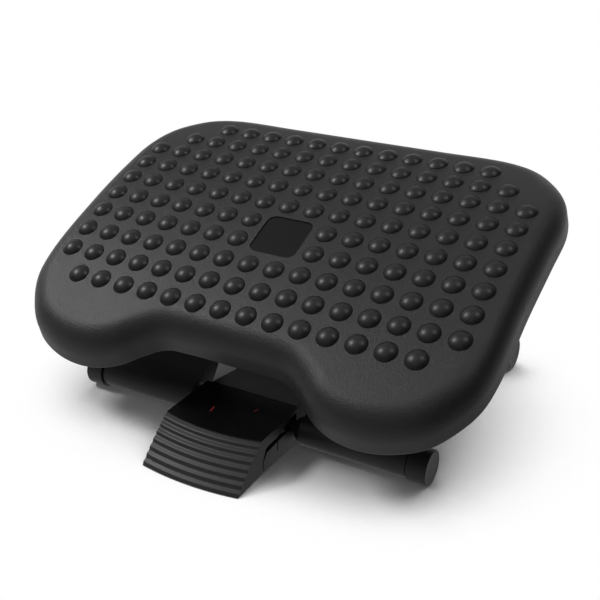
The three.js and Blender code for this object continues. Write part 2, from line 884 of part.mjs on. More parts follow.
function pedalCover() {
  const edge = coverEdgeShares.map(([ahead, up]) => point(-ahead * pedalSeamAhead, up * pedalTopHeight));
  const sideCut = crossPrism(
    [
      point(pedalBackBehind + overrun, -overrun),
      point(pedalBackBehind + overrun, pedalCeiling),
      ...edge.reverse(),
      point(-pedalSeamAhead, -overrun),
    ],
    -pedalHalfWidth - overrun,
    pedalHalfWidth + overrun,
  );
  const form = loftedAcross(coverOutline, pedalHalfWidth);
  const shell = cut(form, [loftedAcross(coverHollowOutline, pedalInnerHalf), sideCut]);
  const plunger = crossBox(
    -plungerHalfWidth,
    plungerHalfWidth,
    -plungerAhead - plungerThickness / 2,
    -plungerAhead + plungerThickness / 2,
    leverToeTop + fitGap,
    pedalTopHeight - pedalWall / 2,
  );
  const lugs = hands.map(([, side]) => {
    const [left, right] = sideSpan(side, pedalLugOffset - pedalLugWidth / 2, pedalLugEnd);
    const eye = crossRod(pedalLugRadius, smallSides, left, right, -pedalPinAhead, pedalPinHeight);
    const front = -pedalPinAhead - pedalLugRadius;
    const back = -pedalPinAhead + pedalLugRadius;
    return eye.add(crossBox(left, right, front, back, pedalPinHeight, pedalTopHeight).intersect(form));
  });
  const pinReach = pedalLugOffset + pedalLugWidth;
  const boreRadius = pedalPinRadius + fitGap;
  const bore = crossHole(boreRadius, smallSides, -pinReach, pinReach, -pedalPinAhead, pedalPinHeight);
  return joined([shell, plunger, ...lugs]).subtract(bore);
}

function addPedal(group) {
  addMesh(group, "pedal_cover", pedalCover(), pedalPlastic);
  for (const [name, side] of hands) {
    const foot = trayTop + fitGap;
    const rings = coilRings(springRadius, springWireRadius, springTurns, foot, pedalCeiling - fitGap);
    for (const p of rings.flat()) p.add(new THREE.Vector3(side * springAcross, -springAhead, 0));
    addMesh(group, `pedal_spring_${name}`, coil(rings), zincSteel);
  }
}

// Pedal base: a tray with side walls, cheeks for the axle, lugs for the pedal and posts for the lever
const trayTop = trayHeight + trayThickness;
const trayBack = -baseEdgeShares[baseEdgeShares.length - 1][0] * pedalSeamAhead;
const bushRadius = axleRadius + fitGap + bushWall;
const leverPostEnd = leverPostOffset + leverPostThickness / 2;

function baseWallPiece(side) {
  const front = pedalSeamAhead - seamGap;
  const edge = baseEdgeShares.map(([ahead, up]) => point(-ahead * front, up * pedalTopHeight));
  const wall = crossPrism(
    [point(-front, trayHeight), point(trayBack, trayHeight), ...edge.reverse()],
    ...sideSpan(side, pedalHalfWidth - baseWall, pedalHalfWidth),
  );
  const middle = -notchAheadShare * front;
  const notch = crossBox(
    ...sideSpan(side, pedalHalfWidth - baseWall - overrun, pedalHalfWidth + overrun),
    middle - notchWidth / 2,
    middle + notchWidth / 2,
    notchFootShare * pedalTopHeight,
    pedalTopHeight,
  );
  const [left, right] = sideSpan(side, tongueHalfWidth, pedalHalfWidth + overrun);
  const axleRoom = crossHole(axleRadius + seamGap, roundSides, left, right, 0, footRadius);
  return cut(wall, [notch, axleRoom]);
}

function pedalBase() {
  const noseHalf = pedalLugOffset - pedalLugWidth / 2 - trayGap;
  const noseFront = -pedalPinAhead - trayNose;
  const pieces = [
    crossBox(-noseHalf, noseHalf, noseFront, -pedalSeamAhead + overrun, trayHeight, trayTop),
    crossBox(-pedalHalfWidth, pedalHalfWidth, -pedalSeamAhead + seamGap, trayBack, trayHeight, trayTop),
    crossBox(-tongueHalfWidth, tongueHalfWidth, trayBack - overrun, tongueLength, trayHeight, trayTop),
  ];
  for (const [, side] of hands) {
    const lug = sideSpan(side, noseHalf - pedalLugWidth, noseHalf);
    const cheek = sideSpan(side, cheekOffset - cheekThickness / 2, cheekOffset + cheekThickness / 2);
    const post = sideSpan(side, leverPostOffset - leverPostThickness / 2, leverPostEnd);
    const lugFront = -pedalPinAhead - pedalLugRadius;
    const lugBack = -pedalPinAhead + pedalLugRadius;
    const spigotRadius = springRadius - springWireRadius - 2 * fitGap;
    pieces.push(baseWallPiece(side));
    pieces.push(crossRod(pedalLugRadius, smallSides, ...lug, -pedalPinAhead, pedalPinHeight));
    pieces.push(crossBox(...lug, lugFront, lugBack, trayHeight, pedalPinHeight));
    pieces.push(crossBox(...cheek, -cheekAhead, cheekBehind, trayHeight, cheekTop));
    pieces.push(crossRod(leverPostRadius, smallSides, ...post, -leverPinAhead, leverPinHeight));
    pieces.push(crossBox(
      ...post, -leverPinAhead - leverPostRadius, -leverPinAhead + leverPostRadius, trayHeight, leverPinHeight,
    ));
    pieces.push(uprightRod(
      spigotRadius, screwSides, side * springAcross, -springAhead, trayHeight, trayTop + 2 * springWireRadius,
    ));
  }
  const lugReach = noseHalf + overrun;
  const cheekReach = cheekOffset + cheekThickness;
  const postReach = leverPostOffset + leverPostThickness;
  const holes = spineScrewPlaces.map(([x, y]) => screwHole(x, y, trayHeight - overrun, trayTop + overrun));
  const pedalBore = pedalPinRadius + fitGap;
  const leverBore = leverPinRadius + fitGap;
  holes.push(crossHole(pedalBore, smallSides, -lugReach, lugReach, -pedalPinAhead, pedalPinHeight));
  holes.push(crossHole(leverBore, smallSides, -postReach, postReach, -leverPinAhead, leverPinHeight));
  holes.push(crossHole(bushRadius + fitGap, roundSides, -cheekReach, cheekReach, 0, footRadius));
  return cut(joined(pieces), holes);
}

function axleBush(side) {
  const [left, right] = sideSpan(side, cheekOffset - cheekThickness / 2, cheekOffset + cheekThickness / 2);
  const bore = crossHole(axleRadius + fitGap, roundSides, left - overrun, right + overrun, 0, footRadius);
  return crossRod(bushRadius, roundSides, left, right, 0, footRadius).subtract(bore);
}

// Spine: a channel that is open below, from behind the axle to a saddle over the rear tube
const spineFront = axleRadius + spineAxleGap;
const spineScrewPlaces = hands.flatMap(([, side]) => [
  [side * spineScrewAcross, spineScrewFirst],
  [side * spineScrewAcross, spineScrewSecond],
]);
const saddleRadius = rearTubeRadius + fitGap + saddleWall;
const saddleFront = footSpacing - saddleRadius;

// The height of the spine's top line
function spineHeight(y) {
  if (y < spineBendBack) {
    const way = (y - spineFront) / (spineBendBack - spineFront);
    return spineFrontHeight + (spineBendHeight - spineFrontHeight) * way;
  }
  const way = (y - spineBendBack) / (footSpacing - spineBendBack);
  return spineBendHeight + (spineRearHeight - spineBendHeight) * way;
}

function spineSolid(half, front, back, bottom, drop) {
  const outline = [
    point(front, bottom),
    point(back, bottom),
    point(back, spineHeight(back) - drop),
    point(spineBendBack, spineBendHeight - drop),
    point(front, spineHeight(front) - drop),
  ];
  return crossPrism(outline, -half, half);
}

function baseSpine() {
  const form = spineSolid(spineHalfWidth, spineFront, footSpacing, spineFloorGap, 0);
  const hollowHalf = spineHalfWidth - spineWall;
  const hollow = spineSolid(hollowHalf, spineFront - overrun, saddleFront, -overrun, spineWall);
  const saddle = crossRod(saddleRadius, roundSides, -spineHalfWidth, spineHalfWidth, footSpacing, footRadius);
  const reach = spineHalfWidth + overrun;
  const bosses = spineScrewPlaces.map(([x, y]) =>
    uprightRod(spineBossRadius, smallSides, x, y, trayTop + fitGap, spineHeight(y) - spineWall / 2),
  );
  const holes = spineScrewPlaces.map(([x, y]) => screwHole(x, y, trayHeight, spineScrewTip + fitGap));
  holes.push(crossHole(rearTubeRadius + fitGap, roundSides, -reach, reach, footSpacing, footRadius));
  holes.push(crossBox(
    -reach, reach, saddleFront, footSpacing + saddleRadius + overrun, -saddleRadius, saddleOpening,
  ));
  const saddleTop = footRadius + saddleRadius + overrun;
  for (const [x, y] of clampScrewPlaces) holes.push(screwHole(x, y, footRadius, saddleTop));
  return cut(joined([form.subtract(hollow), saddle, ...bosses]), holes);
}

const spineScrewTip = (trayTop + spineBendHeight) / 2;
const clampScrewPlaces = hands.map(([, side]) => [side * clampScrewOffset, footSpacing]);

const rearTubeEnd = rearHalfSpan - footCapLength - capGroove;

function rearTube() {
  const boreEnd = rearTubeEnd + overrun;
  const bore = crossHole(rearTubeRadius - rearTubeWall, roundSides, -boreEnd, boreEnd, 0, 0);
  const tube = crossRod(rearTubeRadius, roundSides, -rearTubeEnd, rearTubeEnd, 0, 0).subtract(bore);
  const holes = clampScrewPlaces.map(([x]) => screwHole(x, 0, 0, rearTubeRadius + overrun));
  return cut(tube, holes);
}

function footCap(side, halfSpan, y) {
  const profile = [
    [halfSpan - footCapLength, footRadius],
    [halfSpan - footCapChamfer, footRadius],
    [halfSpan, footRadius - footCapChamfer],
  ];
  return turned(sideProfile(profile, side), roundSides, y, footRadius);
}

function frontCap(side) {
  const [left, right] = sideSpan(side, footHalfSpan - footCapLength - overrun, footHalfSpan - footCapWall);
  const bore = crossHole(axleRadius + fitGap, roundSides, left, right, 0, footRadius);
  return footCap(side, footHalfSpan, 0).subtract(bore);
}

function rearCap(side) {
  const plugRadius = rearTubeRadius - rearTubeWall - fitGap;
  const near = rearHalfSpan - footCapLength;
  const [left, right] = sideSpan(side, near - capPlugLength, near + overrun);
  const plug = crossRod(plugRadius, roundSides, left, right, footSpacing, footRadius);
  return footCap(side, rearHalfSpan, footSpacing).add(plug);
}

function brakeLever() {
  const hornBack = -drumRadius - 2 * fitGap - shoeThickness;
  const hornFront = hornBack - leverHornThickness;
  const hub = leverPinHeight - leverHubRadius;
  const outline = [
    point(-leverToeAhead, leverToeFoot),
    point(-leverPinAhead, hub),
    point(-leverPinAhead + leverHubRadius, hub),
    point(hornBack, footRadius - shoeHalfHeight),
    point(hornBack, leverHornHeight),
    point(hornFront, leverHornHeight),
    point(-leverPinAhead + leverHubRadius, leverPinHeight + leverHubRadius),
    point(-leverToeAhead, leverToeTop),
  ];
  const bore = crossHole(
    leverPinRadius + fitGap, smallSides, -leverHalfWidth - overrun, leverHalfWidth + overrun,
    -leverPinAhead, leverPinHeight,
  );
  return crossPrism(outline, -leverHalfWidth, leverHalfWidth).subtract(bore);
}

function brakeShoe() {
  const back = -drumRadius - fitGap;
  return crossBox(
    -leverHalfWidth, leverHalfWidth, back - shoeThickness, back,
    footRadius - shoeHalfHeight, footRadius + shoeHalfHeight,
  );
}

function leverSpring() {
  const near = leverHalfWidth + fitGap;
  const far = near + leverCoilTurns * leverCoilPitch + 2 * leverWireRadius;
  const rings = coilRings(leverCoilRadius, leverWireRadius, leverCoilTurns, near, far);
  const pin = new THREE.Vector3(0, -leverPinAhead, leverPinHeight);
  for (const p of rings.flat()) p.applyMatrix4(alongX).add(pin);
  return coil(rings);
}

function addLever(group) {
  addMesh(group, "brake_lever", brakeLever(), framePlastic);
  addMesh(group, "brake_shoe", brakeShoe(), frictionPad);
}

function addFloorFrame(group) {
  addMesh(group, "pedal_base", pedalBase(), framePlastic);
  addMesh(group, "base_spine", baseSpine(), framePlastic);
  const tube = new THREE.Group();
  tube.position.set(0, footSpacing, footRadius);
  addMesh(tube, "rear_tube", rearTube(), blackSteel);
  group.add(tube);
  const pedalPin = crossRod(
    pedalPinRadius, smallSides, -pedalLugEnd, pedalLugEnd, -pedalPinAhead, pedalPinHeight,
  );
  addMesh(group, "pedal_pin", pedalPin, zincSteel);
  const leverPin = crossRod(
    leverPinRadius, smallSides, -leverPostEnd, leverPostEnd, -leverPinAhead, leverPinHeight,
  );
  addMesh(group, "lever_pin", leverPin, zincSteel);
  addMesh(group, "lever_spring", leverSpring(), zincSteel);
  for (const [name, side] of hands) {
    addMesh(group, `axle_bush_${name}`, axleBush(side), rubber);
    addMesh(group, `front_cap_${name}`, frontCap(side), rubber);
    addMesh(group, `rear_cap_${name}`, rearCap(side), rubber);
  }
  spineScrewPlaces.forEach(([x, y], i) => {
    addMesh(group, `spine_screw_${i + 1}`, screw(x, y, trayHeight, spineScrewTip), zincSteel);
  });
  clampScrewPlaces.forEach(([x, y], i) => {
    const tip = footRadius + rearTubeRadius - 2 * saddleWall;
    addMesh(group, `clamp_screw_${i + 1}`, screw(x, y, footRadius + saddleRadius, tip), zincSteel);
  });
  const padPlaces = hands.flatMap(([, side]) => [
    [side * padAcross, -padFrontAhead],
    [side * padAcross, -padRearAhead],
  ]);
  padPlaces.forEach(([x, y], i) => {
    const pad = uprightRod(padRadius, smallSides, x, y, 0, padThickness);
    addMesh(group, `base_pad_${i + 1}`, pad, rubber);
  });
}

// The whole footrest, with its origin under the middle of its box
const footrest = new THREE.Group();
const assembly = new THREE.Group();
footrest.add(assembly);

const leg = new THREE.Group();
leg.position.z = footRadius;
leg.rotation.x = legAngle * degree;
addLeg(leg);

const deck = new THREE.Group();
deck.position.y = legLength * Math.cos(legAngle * degree);
deck.position.z = footRadius + legLength * Math.sin(legAngle * degree);
deck.rotation.x = deckTilt * degree;
const deckParts = new THREE.Group();
deckParts.position.z = pivotDrop;
deck.add(deckParts);
addDeck(deckParts);

const floorFrame = new THREE.Group();
addFloorFrame(floorFrame);
addPedal(floorFrame);
addLever(floorFrame);

assembly.add(floorFrame, leg, deck);
const middle = new THREE.Box3().setFromObject(assembly, true).getCenter(new THREE.Vector3());
assembly.position.y = -middle.y;

export default footrest;
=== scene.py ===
# %% [markdown]
# # A tilting footrest for under a desk
#
# The footrest has four moving parts. A domed deck tilts on a swinging leg, the leg is held by a brake, and a
# pedal at the front frees the brake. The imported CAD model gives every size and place. This script only gives
# it its looks: finer surfaces, moulded details and materials made from nodes.

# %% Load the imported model
import json
import math

import bmesh
import bpy
import numpy as np
from mathutils import Matrix, Vector

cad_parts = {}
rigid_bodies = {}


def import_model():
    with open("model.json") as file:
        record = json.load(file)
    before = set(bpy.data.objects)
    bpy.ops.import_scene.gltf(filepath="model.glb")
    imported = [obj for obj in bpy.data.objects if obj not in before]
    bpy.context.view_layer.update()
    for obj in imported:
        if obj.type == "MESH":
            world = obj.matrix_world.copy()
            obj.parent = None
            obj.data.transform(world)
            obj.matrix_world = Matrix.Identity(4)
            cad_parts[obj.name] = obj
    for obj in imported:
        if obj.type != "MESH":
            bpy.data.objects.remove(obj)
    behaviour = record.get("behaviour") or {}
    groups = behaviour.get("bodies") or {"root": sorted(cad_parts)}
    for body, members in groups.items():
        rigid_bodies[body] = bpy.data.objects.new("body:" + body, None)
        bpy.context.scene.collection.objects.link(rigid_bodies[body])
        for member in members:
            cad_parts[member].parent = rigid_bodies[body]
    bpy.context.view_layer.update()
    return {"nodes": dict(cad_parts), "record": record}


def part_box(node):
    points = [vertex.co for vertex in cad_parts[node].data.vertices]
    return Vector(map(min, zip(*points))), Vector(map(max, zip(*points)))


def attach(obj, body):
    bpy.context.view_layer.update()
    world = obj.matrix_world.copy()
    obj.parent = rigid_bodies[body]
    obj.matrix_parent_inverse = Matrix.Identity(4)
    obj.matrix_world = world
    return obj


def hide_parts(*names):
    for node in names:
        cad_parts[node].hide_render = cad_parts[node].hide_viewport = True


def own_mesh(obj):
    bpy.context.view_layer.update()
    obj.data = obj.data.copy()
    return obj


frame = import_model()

MM = 0.001
nodes = frame["nodes"]
bodies = frame["record"]["behaviour"]["bodies"]
body_of_node = {node: body for body, members in bodies.items() for node in members}


def new_object(name, data):
    thing = bpy.data.objects.new(name, data)
    bpy.context.scene.collection.objects.link(thing)
    return thing


# %% [markdown]
# ## Camera
#
# The domes of the deck stand on a square grid. A grid of known pitch, seen in perspective, tells where the
# camera stood and how long its lens was, so the camera below isn't guessed. Its two directions are to the
# right and forward. The third, up, follows from them, and a Blender camera looks along its own minus Z.

# %% Camera
camera_place = Vector((0.42574, -0.72788, 0.49368))
camera_right = Vector((0.8689, 0.4950, 0.0))
camera_forward = Vector((-0.4485, 0.7873, -0.4230))

camera_data = bpy.data.cameras.new("photo_camera")
camera_data.sensor_width = 36.0
camera_data.lens = 59.79
camera_data.clip_start = 0.02
camera_data.clip_end = 50.0
camera = new_object("photo_camera", camera_data)
forward = camera_forward.normalized()
right = camera_right.normalized()
up = right.cross(forward)
right = forward.cross(up).normalized()
turn = Matrix((right, up.normalized(), -forward)).transposed().to_4x4()
camera.matrix_world = Matrix.Translation(camera_place) @ turn
bpy.context.scene.camera = camera
print("camera at", tuple(round(v, 3) for v in camera_place), "lens", camera_data.lens)

# %% [markdown]
# ## Two effects that several plastics share
#
# Moulded plastic is never quite smooth. The tool that it came from was eroded by sparks, which leaves a fine
# pebble grain, and handling leaves faint cloudy patches that are a little glossier. Both effects are built
# once as node groups with named inputs. Each material places them with values of its own.

# %% Node group helpers
def new_group(name, inputs, outputs):
    group = bpy.data.node_groups.new(name, "ShaderNodeTree")
    for label, kind, value in inputs:
        socket = group.interface.new_socket(name=label, in_out="INPUT", socket_type=kind)
        if value is not None:
            socket.default_value = value
    for label, kind in outputs:
        group.interface.new_socket(name=label, in_out="OUTPUT", socket_type=kind)
    return group, group.nodes.new("NodeGroupInput"), group.nodes.new("NodeGroupOutput")


def fill(node, inputs):
    """Gives each input of a node its value, or a link where the value is a socket of another node."""
    for name, value in inputs.items():
        if isinstance(value, bpy.types.NodeSocket):
            node.id_data.links.new(value, node.inputs[name])
        else:
            node.inputs[name].default_value = value
    return node


def add_node(tree, kind, inputs):
    return fill(tree.nodes.new(kind), inputs)


def math_node(tree, operation, first, second):
    node = add_node(tree, "ShaderNodeMath", {0: first, 1: second})
    node.operation = operation
    return node.outputs[0]


def noise_node(tree, vector, scale, detail):
    node = add_node(tree, "ShaderNodeTexNoise", {"Vector": vector, "Scale": scale, "Detail": detail})
    return node.outputs["Fac"]


print("helpers ready")

# %% Moulded grain
# Grain Size is the width of one pebble in metres. Height feeds a Bump node.
coarse_repeat = 0.31
coarse_share = 0.25
grain, grain_in, grain_out = new_group(
    "moulded_grain",
    [("Vector", "NodeSocketVector", None), ("Grain Size", "NodeSocketFloat", 0.0008)],
    [("Height", "NodeSocketFloat")],
)
grain_scale = math_node(grain, "DIVIDE", 1.0, grain_in.outputs["Grain Size"])
pebbles = noise_node(grain, grain_in.outputs["Vector"], grain_scale, 2.0)
coarse_scale = math_node(grain, "MULTIPLY", grain_scale, coarse_repeat)
coarse = noise_node(grain, grain_in.outputs["Vector"], coarse_scale, 1.0)
fine_part = math_node(grain, "MULTIPLY", pebbles, 1 - coarse_share)
coarse_part = math_node(grain, "MULTIPLY", coarse, coarse_share)
fill(grain_out, {"Height": math_node(grain, "ADD", fine_part, coarse_part)})
print("group", grain.name)

# %% Handling clouds
# Large soft patches, from 0 to 1, that change the roughness and the colour a little.
clouds, clouds_in, clouds_out = new_group(
    "handling_clouds",
    [
        ("Vector", "NodeSocketVector", None),
        ("Patch Size", "NodeSocketFloat", 0.05),
        ("Roughness", "NodeSocketFloat", 0.5),
        ("Spread", "NodeSocketFloat", 0.08),
        ("Color", "NodeSocketColor", (0.03, 0.03, 0.03, 1.0)),
        ("Lift", "NodeSocketFloat", 0.15),
    ],
    [("Roughness", "NodeSocketFloat"), ("Color", "NodeSocketColor")],
)
cloud_scale = math_node(clouds, "DIVIDE", 1.0, clouds_in.outputs["Patch Size"])
patches = noise_node(clouds, clouds_in.outputs["Vector"], cloud_scale, 3.0)
centred = math_node(clouds, "MULTIPLY", math_node(clouds, "SUBTRACT", patches, 0.5), 2.0)
swing = math_node(clouds, "MULTIPLY", centred, clouds_in.outputs["Spread"])
gain = math_node(clouds, "ADD", math_node(clouds, "MULTIPLY", centred, clouds_in.outputs["Lift"]), 1.0)
tint = clouds.nodes.new("ShaderNodeVectorMath")
tint.operation = "SCALE"
fill(tint, {0: clouds_in.outputs["Color"], "Scale": gain})
fill(clouds_out, {
    "Roughness": math_node(clouds, "ADD", clouds_in.outputs["Roughness"], swing), "Color": tint.outputs[0],
})
print("group", clouds.name)

# %% [markdown]
# ## Plastics, rubber and steel
#
# Every finish on this footrest is nearly black, so what tells them apart is their gloss and grain. The deck
# has a broad dull sheen, its domes are smoother and the pedal's top is the glossiest. The rubber is dull, and
# the spine duller still; its colour is also a little darker than the frame plastic, which is painted shade for
# the spine under the deck. One function makes them all from the two groups, and each finish is a short call
# with its own numbers.

# %% A function that makes a finish
coat_roughness = 0.24


def finish(name, color, roughness, grain_size, grain_depth, patch=0.05, spread=0.05, lift=0.12, metallic=0.0,
           coat=0.0, specular=0.5):
    material = bpy.data.materials.new(name)
    material.use_nodes = True
    tree = material.node_tree
    object_place = tree.nodes.new("ShaderNodeTexCoord").outputs["Object"]
    wear = tree.nodes.new("ShaderNodeGroup")
    wear.node_tree = clouds
    fill(wear, {
        "Vector": object_place, "Patch Size": patch, "Roughness": roughness, "Spread": spread,
        "Color": (*color, 1.0), "Lift": lift,
    })
    texture = tree.nodes.new("ShaderNodeGroup")
    texture.node_tree = grain
    fill(texture, {"Vector": object_place, "Grain Size": grain_size})
    bump = add_node(tree, "ShaderNodeBump", {
        "Strength": 1.0, "Distance": grain_depth, "Height": texture.outputs["Height"],
    })
    fill(tree.nodes["Principled BSDF"], {
        "Base Color": wear.outputs["Color"], "Roughness": wear.outputs["Roughness"], "Metallic": metallic,
        "Specular IOR Level": specular, "Coat Weight": coat, "Coat Roughness": coat_roughness,
        "Normal": bump.outputs["Normal"],
    })
    return material


finish_values = {
    "deck_plastic": ((0.012, 0.012, 0.0122), 0.43, 0.0009, 0.00048, {}),
    "dome_plastic": ((0.008, 0.008, 0.0082), 0.39, 0.0012, 0.00010, {"coat": 0.03, "specular": 0.42}),
    "gloss_black_plastic": ((0.004, 0.004, 0.0042), 0.26, 0.0012, 0.00001, {"specular": 0.2}),
    "grip_plastic": ((0.014, 0.014, 0.0142), 0.45, 0.0012, 0.00016, {}),
    "badge_plastic": ((0.004, 0.004, 0.0042), 0.48, 0.0006, 0.00002, {"specular": 0.17}),
    "frame_plastic": ((0.014, 0.014, 0.0142), 0.45, 0.0010, 0.00004, {"specular": 0.26}),
    # A duller copy of the frame plastic for the spine. Its darker colour is painted shade under the deck.
    "dull_shaded_spine_plastic": ((0.010, 0.010, 0.0102), 0.58, 0.0010, 0.00004, {"specular": 0.12}),
    "black_rubber": ((0.010, 0.010, 0.0102), 0.52, 0.0006, 0.00004, {"specular": 0.35}),
    "friction_fibre": ((0.050, 0.035, 0.024), 0.90, 0.0005, 0.0001, {}),
    "black_steel": ((0.020, 0.020, 0.022), 0.38, 0.0015, 0.00002, {}),
    "zinc_steel": ((0.60, 0.60, 0.62), 0.30, 0.0010, 0.00001, {"metallic": 1.0}),
}
finishes = {name: finish(name, *numbers, **more) for name, (*numbers, more) in finish_values.items()}
print("finishes:", ", ".join(finishes))

# %% [markdown]
# ## The bare CAD nodes get their finishes
#
# The record names a material slot for each node. Nodes that stay as they are, such as the pins and the
# brake inside the base, take the finish of their slot here. Later cells replace the ones that need more.

# %% Paint the CAD nodes
slot_of_node = {entry["node"]: entry["material_slot"] for entry in frame["record"]["subparts"]}
for node, thing in nodes.items():
    thing.data.materials.clear()
    thing.data.materials.append(finishes[slot_of_node[node]])
print("painted", len(nodes), "nodes")

# %% [markdown]
# ## Building closed surfaces from rings
#
# Most moulded forms here are rings of points, one inside or above the next, joined by quads. It keeps the
# edges running along the form, so the highlights run along it as well. A form closes with a fan at each end.

# %% Ring helpers
def surface(name, rings, close=True):
    points = [tuple(p) for ring in rings for p in ring]
    count = len(rings[0])
    faces = []
    for level in range(len(rings) - 1):
        for i in range(count):
            here = level * count + i
            after = level * count + (i + 1) % count
            faces.append((here, after, after + count, here + count))
    if close:
        for base, ring in ((0, rings[0]), ((len(rings) - 1) * count, rings[-1])):
            hub = len(points)
            points.append(tuple(np.mean(np.array(ring), axis=0)))
            faces.extend((hub, base + i, base + (i + 1) % count) for i in range(count))
    mesh = bpy.data.meshes.new(name)
    mesh.from_pydata(points, [], faces)
    return mesh


def clean(mesh, place=None, sharp=35.0, merge=1e-6):
    work = bmesh.new()
    work.from_mesh(mesh)
    bmesh.ops.remove_doubles(work, verts=work.verts, dist=merge)
    if place is not None:
        bmesh.ops.transform(work, matrix=place, verts=work.verts)
    bmesh.ops.recalc_face_normals(work, faces=work.faces)
    work.to_mesh(mesh)
    work.free()
    mesh.shade_smooth()
    mesh.set_sharp_from_angle(angle=math.radians(sharp))
    return mesh


def add_piece(name, mesh, material):
    if not mesh.materials:
        mesh.materials.append(finishes[material])
    return new_object(name, mesh)


def settle(piece):
    """Turns the modifiers of a piece into plain mesh."""
    bpy.context.view_layer.update()
    graph = bpy.context.evaluated_depsgraph_get()
    baked = bpy.data.meshes.new_from_object(piece.evaluated_get(graph))
    piece.modifiers.clear()
    piece.data = baked
    return piece


def dress(piece, body, slot, *replaced):
    if replaced:
        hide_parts(*replaced)
    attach(piece, body)
    return piece


print("ring helpers ready")

# %% [markdown]
# ## Deck: one outline, one profile
#
# The deck is a shallow tray, upside down. Its outline is a smooth closed curve with a bay at the front, and
# its section is the same all round: a crowned top, a rolled shoulder, a short skirt and a rounded rim. So
# the whole shell is the outline, moved inwards step by step, with a height for each step. The top could
# also be one big polygon, but rings that shrink towards the middle let it keep its gentle crown.

# %% Deck outline
deck_half = 227.6
deck_front = 183.0
deck_rear = 156.0
crown_radius = 750.0
outline_points = 288
outline_shares = [
    (0, -0.794), (0.175, -0.794), (0.272, -0.806), (0.349, -0.864), (0.428, -0.942), (0.525, -0.99),
    (0.64, -1), (0.754, -0.971), (0.857, -0.906), (0.93, -0.803), (0.98, -0.685), (1, -0.535), (1, -0.164),
    (1, 0.192), (0.993, 0.498), (0.95, 0.704), (0.876, 0.844), (0.788, 0.941), (0.657, 0.996), (0.351, 1),
    (0, 1),
]


def smooth_closed_curve(points, count):
    """A centripetal Catmull-Rom curve, the same kind that the CAD outline uses."""
    total = len(points)
    result = []
    for step in range(count):
        whole, part = divmod(step / count * total, 1)
        before, start, end, after = (points[(int(whole) + k) % total] for k in (-1, 0, 1, 2))
        steps = (start - before, end - start, after - end)
        spans = [math.sqrt(np.linalg.norm(length)) for length in steps]
        slopes = [length / span for length, span in zip(steps, spans)]
        first = slopes[0] - (end - before) / (spans[0] + spans[1]) + slopes[1]
        second = slopes[1] - (after - start) / (spans[1] + spans[2]) + slopes[2]
        first, second = first * spans[1], second * spans[1]
        cubic = 2 * start - 2 * end + first + second
        square = -3 * start + 3 * end - 2 * first - second
        result.append(start + first * part + square * part**2 + cubic * part**3)
    return np.array(result)


half_outline = []
for x, y in outline_shares:
    half_outline.append(np.array((x * deck_half, y * (deck_front if y < 0 else deck_rear))))
mirrored = [p * np.array((-1, 1)) for p in half_outline[1:-1]][::-1]
deck_outline = smooth_closed_curve(half_outline + mirrored, outline_points)
print("deck outline:", len(deck_outline), "points, width", round(np.ptp(deck_outline[:, 0]), 1), "mm")

# %% Moving an outline inwards
def inset(outline, distance):
    arriving = outline - np.roll(outline, 1, axis=0)
    leaving = np.roll(outline, -1, axis=0) - outline
    sides = []
    for step in (arriving, leaving):
        step = step / np.linalg.norm(step, axis=1)[:, None]
        sides.append(np.stack((-step[:, 1], step[:, 0]), axis=1))
    share = distance / (1 + (sides[0] * sides[1]).sum(axis=1))
    return outline + (sides[0] + sides[1]) * share[:, None]


def crown(y):
    return crown_radius - np.sqrt(crown_radius**2 - np.asarray(y) ** 2)


def deck_ring(distance, height, shrink=1.0):
    ring = inset(deck_outline, distance) * shrink
    return np.column_stack((ring, height - crown(ring[:, 1]))) * MM


print("crown drop at the front edge:", round(float(crown(deck_front)), 1), "mm")

# %% [markdown]
# The deck is drawn lying flat about the middle of its domes. The pivot rod of the CAD model says where the
# tilted deck belongs, so one matrix takes every piece of the deck to its place.

# %% Where the deck belongs
deck_tilt = math.radians(21.6)
pivot_drop = 35.0
rod_low, rod_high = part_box("pivot_rod")
pivot = (rod_low + rod_high) / 2
to_deck = (
    Matrix.Translation((0, pivot.y, pivot.z))
    @ Matrix.Rotation(deck_tilt, 4, "X")
    @ Matrix.Translation((0, 0, pivot_drop * MM))
)
print("pivot at", tuple(round(v * 1000, 1) for v in pivot), "mm")

# %% Deck shell
shoulder = 22.0
flare = 0.9
skirt = 32.5
wall = 3.5
rim_round = 1.2
rim_lean = 0.06
rim_top = 1.92
inner_rim_top = 3.0
rim_steps = 4
shoulder_steps = 14
top_steps = 26
top_shares = top_steps + 0.6


def deck_profile():
    """Distance inwards, height and shrink of each ring, from the top's middle out, round and back inside."""
    levels = []
    for i in range(top_steps, 0, -1):
        levels.append((shoulder + flare, 0.0, 1 - i / top_shares))
    for i in range(shoulder_steps, -1, -1):
        angle = i / shoulder_steps * math.pi / 2
        levels.append((flare + shoulder * (1 - math.cos(angle)), shoulder * (math.sin(angle) - 1), 1.0))
    levels.append((rim_lean, -skirt + rim_top, 1.0))
    for i in range(rim_steps + 1):
        angle = i / rim_steps * math.pi
        levels.append((rim_round * (1 - math.cos(angle)), -skirt + rim_round * (1 - math.sin(angle)), 1.0))
    levels.append((wall, -skirt + inner_rim_top, 1.0))
    inner = shoulder - wall
    for i in range(0, shoulder_steps + 1, 2):
        angle = i / shoulder_steps * math.pi / 2
        levels.append((wall + flare + inner * (1 - math.cos(angle)), inner * math.sin(angle) - shoulder, 1.0))
    for i in range(1, top_steps + 1, 2):
        levels.append((shoulder + flare, -wall, 1 - i / top_shares))
    return levels


deck_mesh = surface("deck_shell_moulded", [deck_ring(*level) for level in deck_profile()])
print("deck shell:", len(deck_mesh.polygons), "faces")

# %% [markdown]
# Thin ribs under the deck keep it stiff. Each one is a strip that follows the crown and ends inside the
# skirt. Two run across and four run from front to rear, and short bosses take the screws of the brackets.

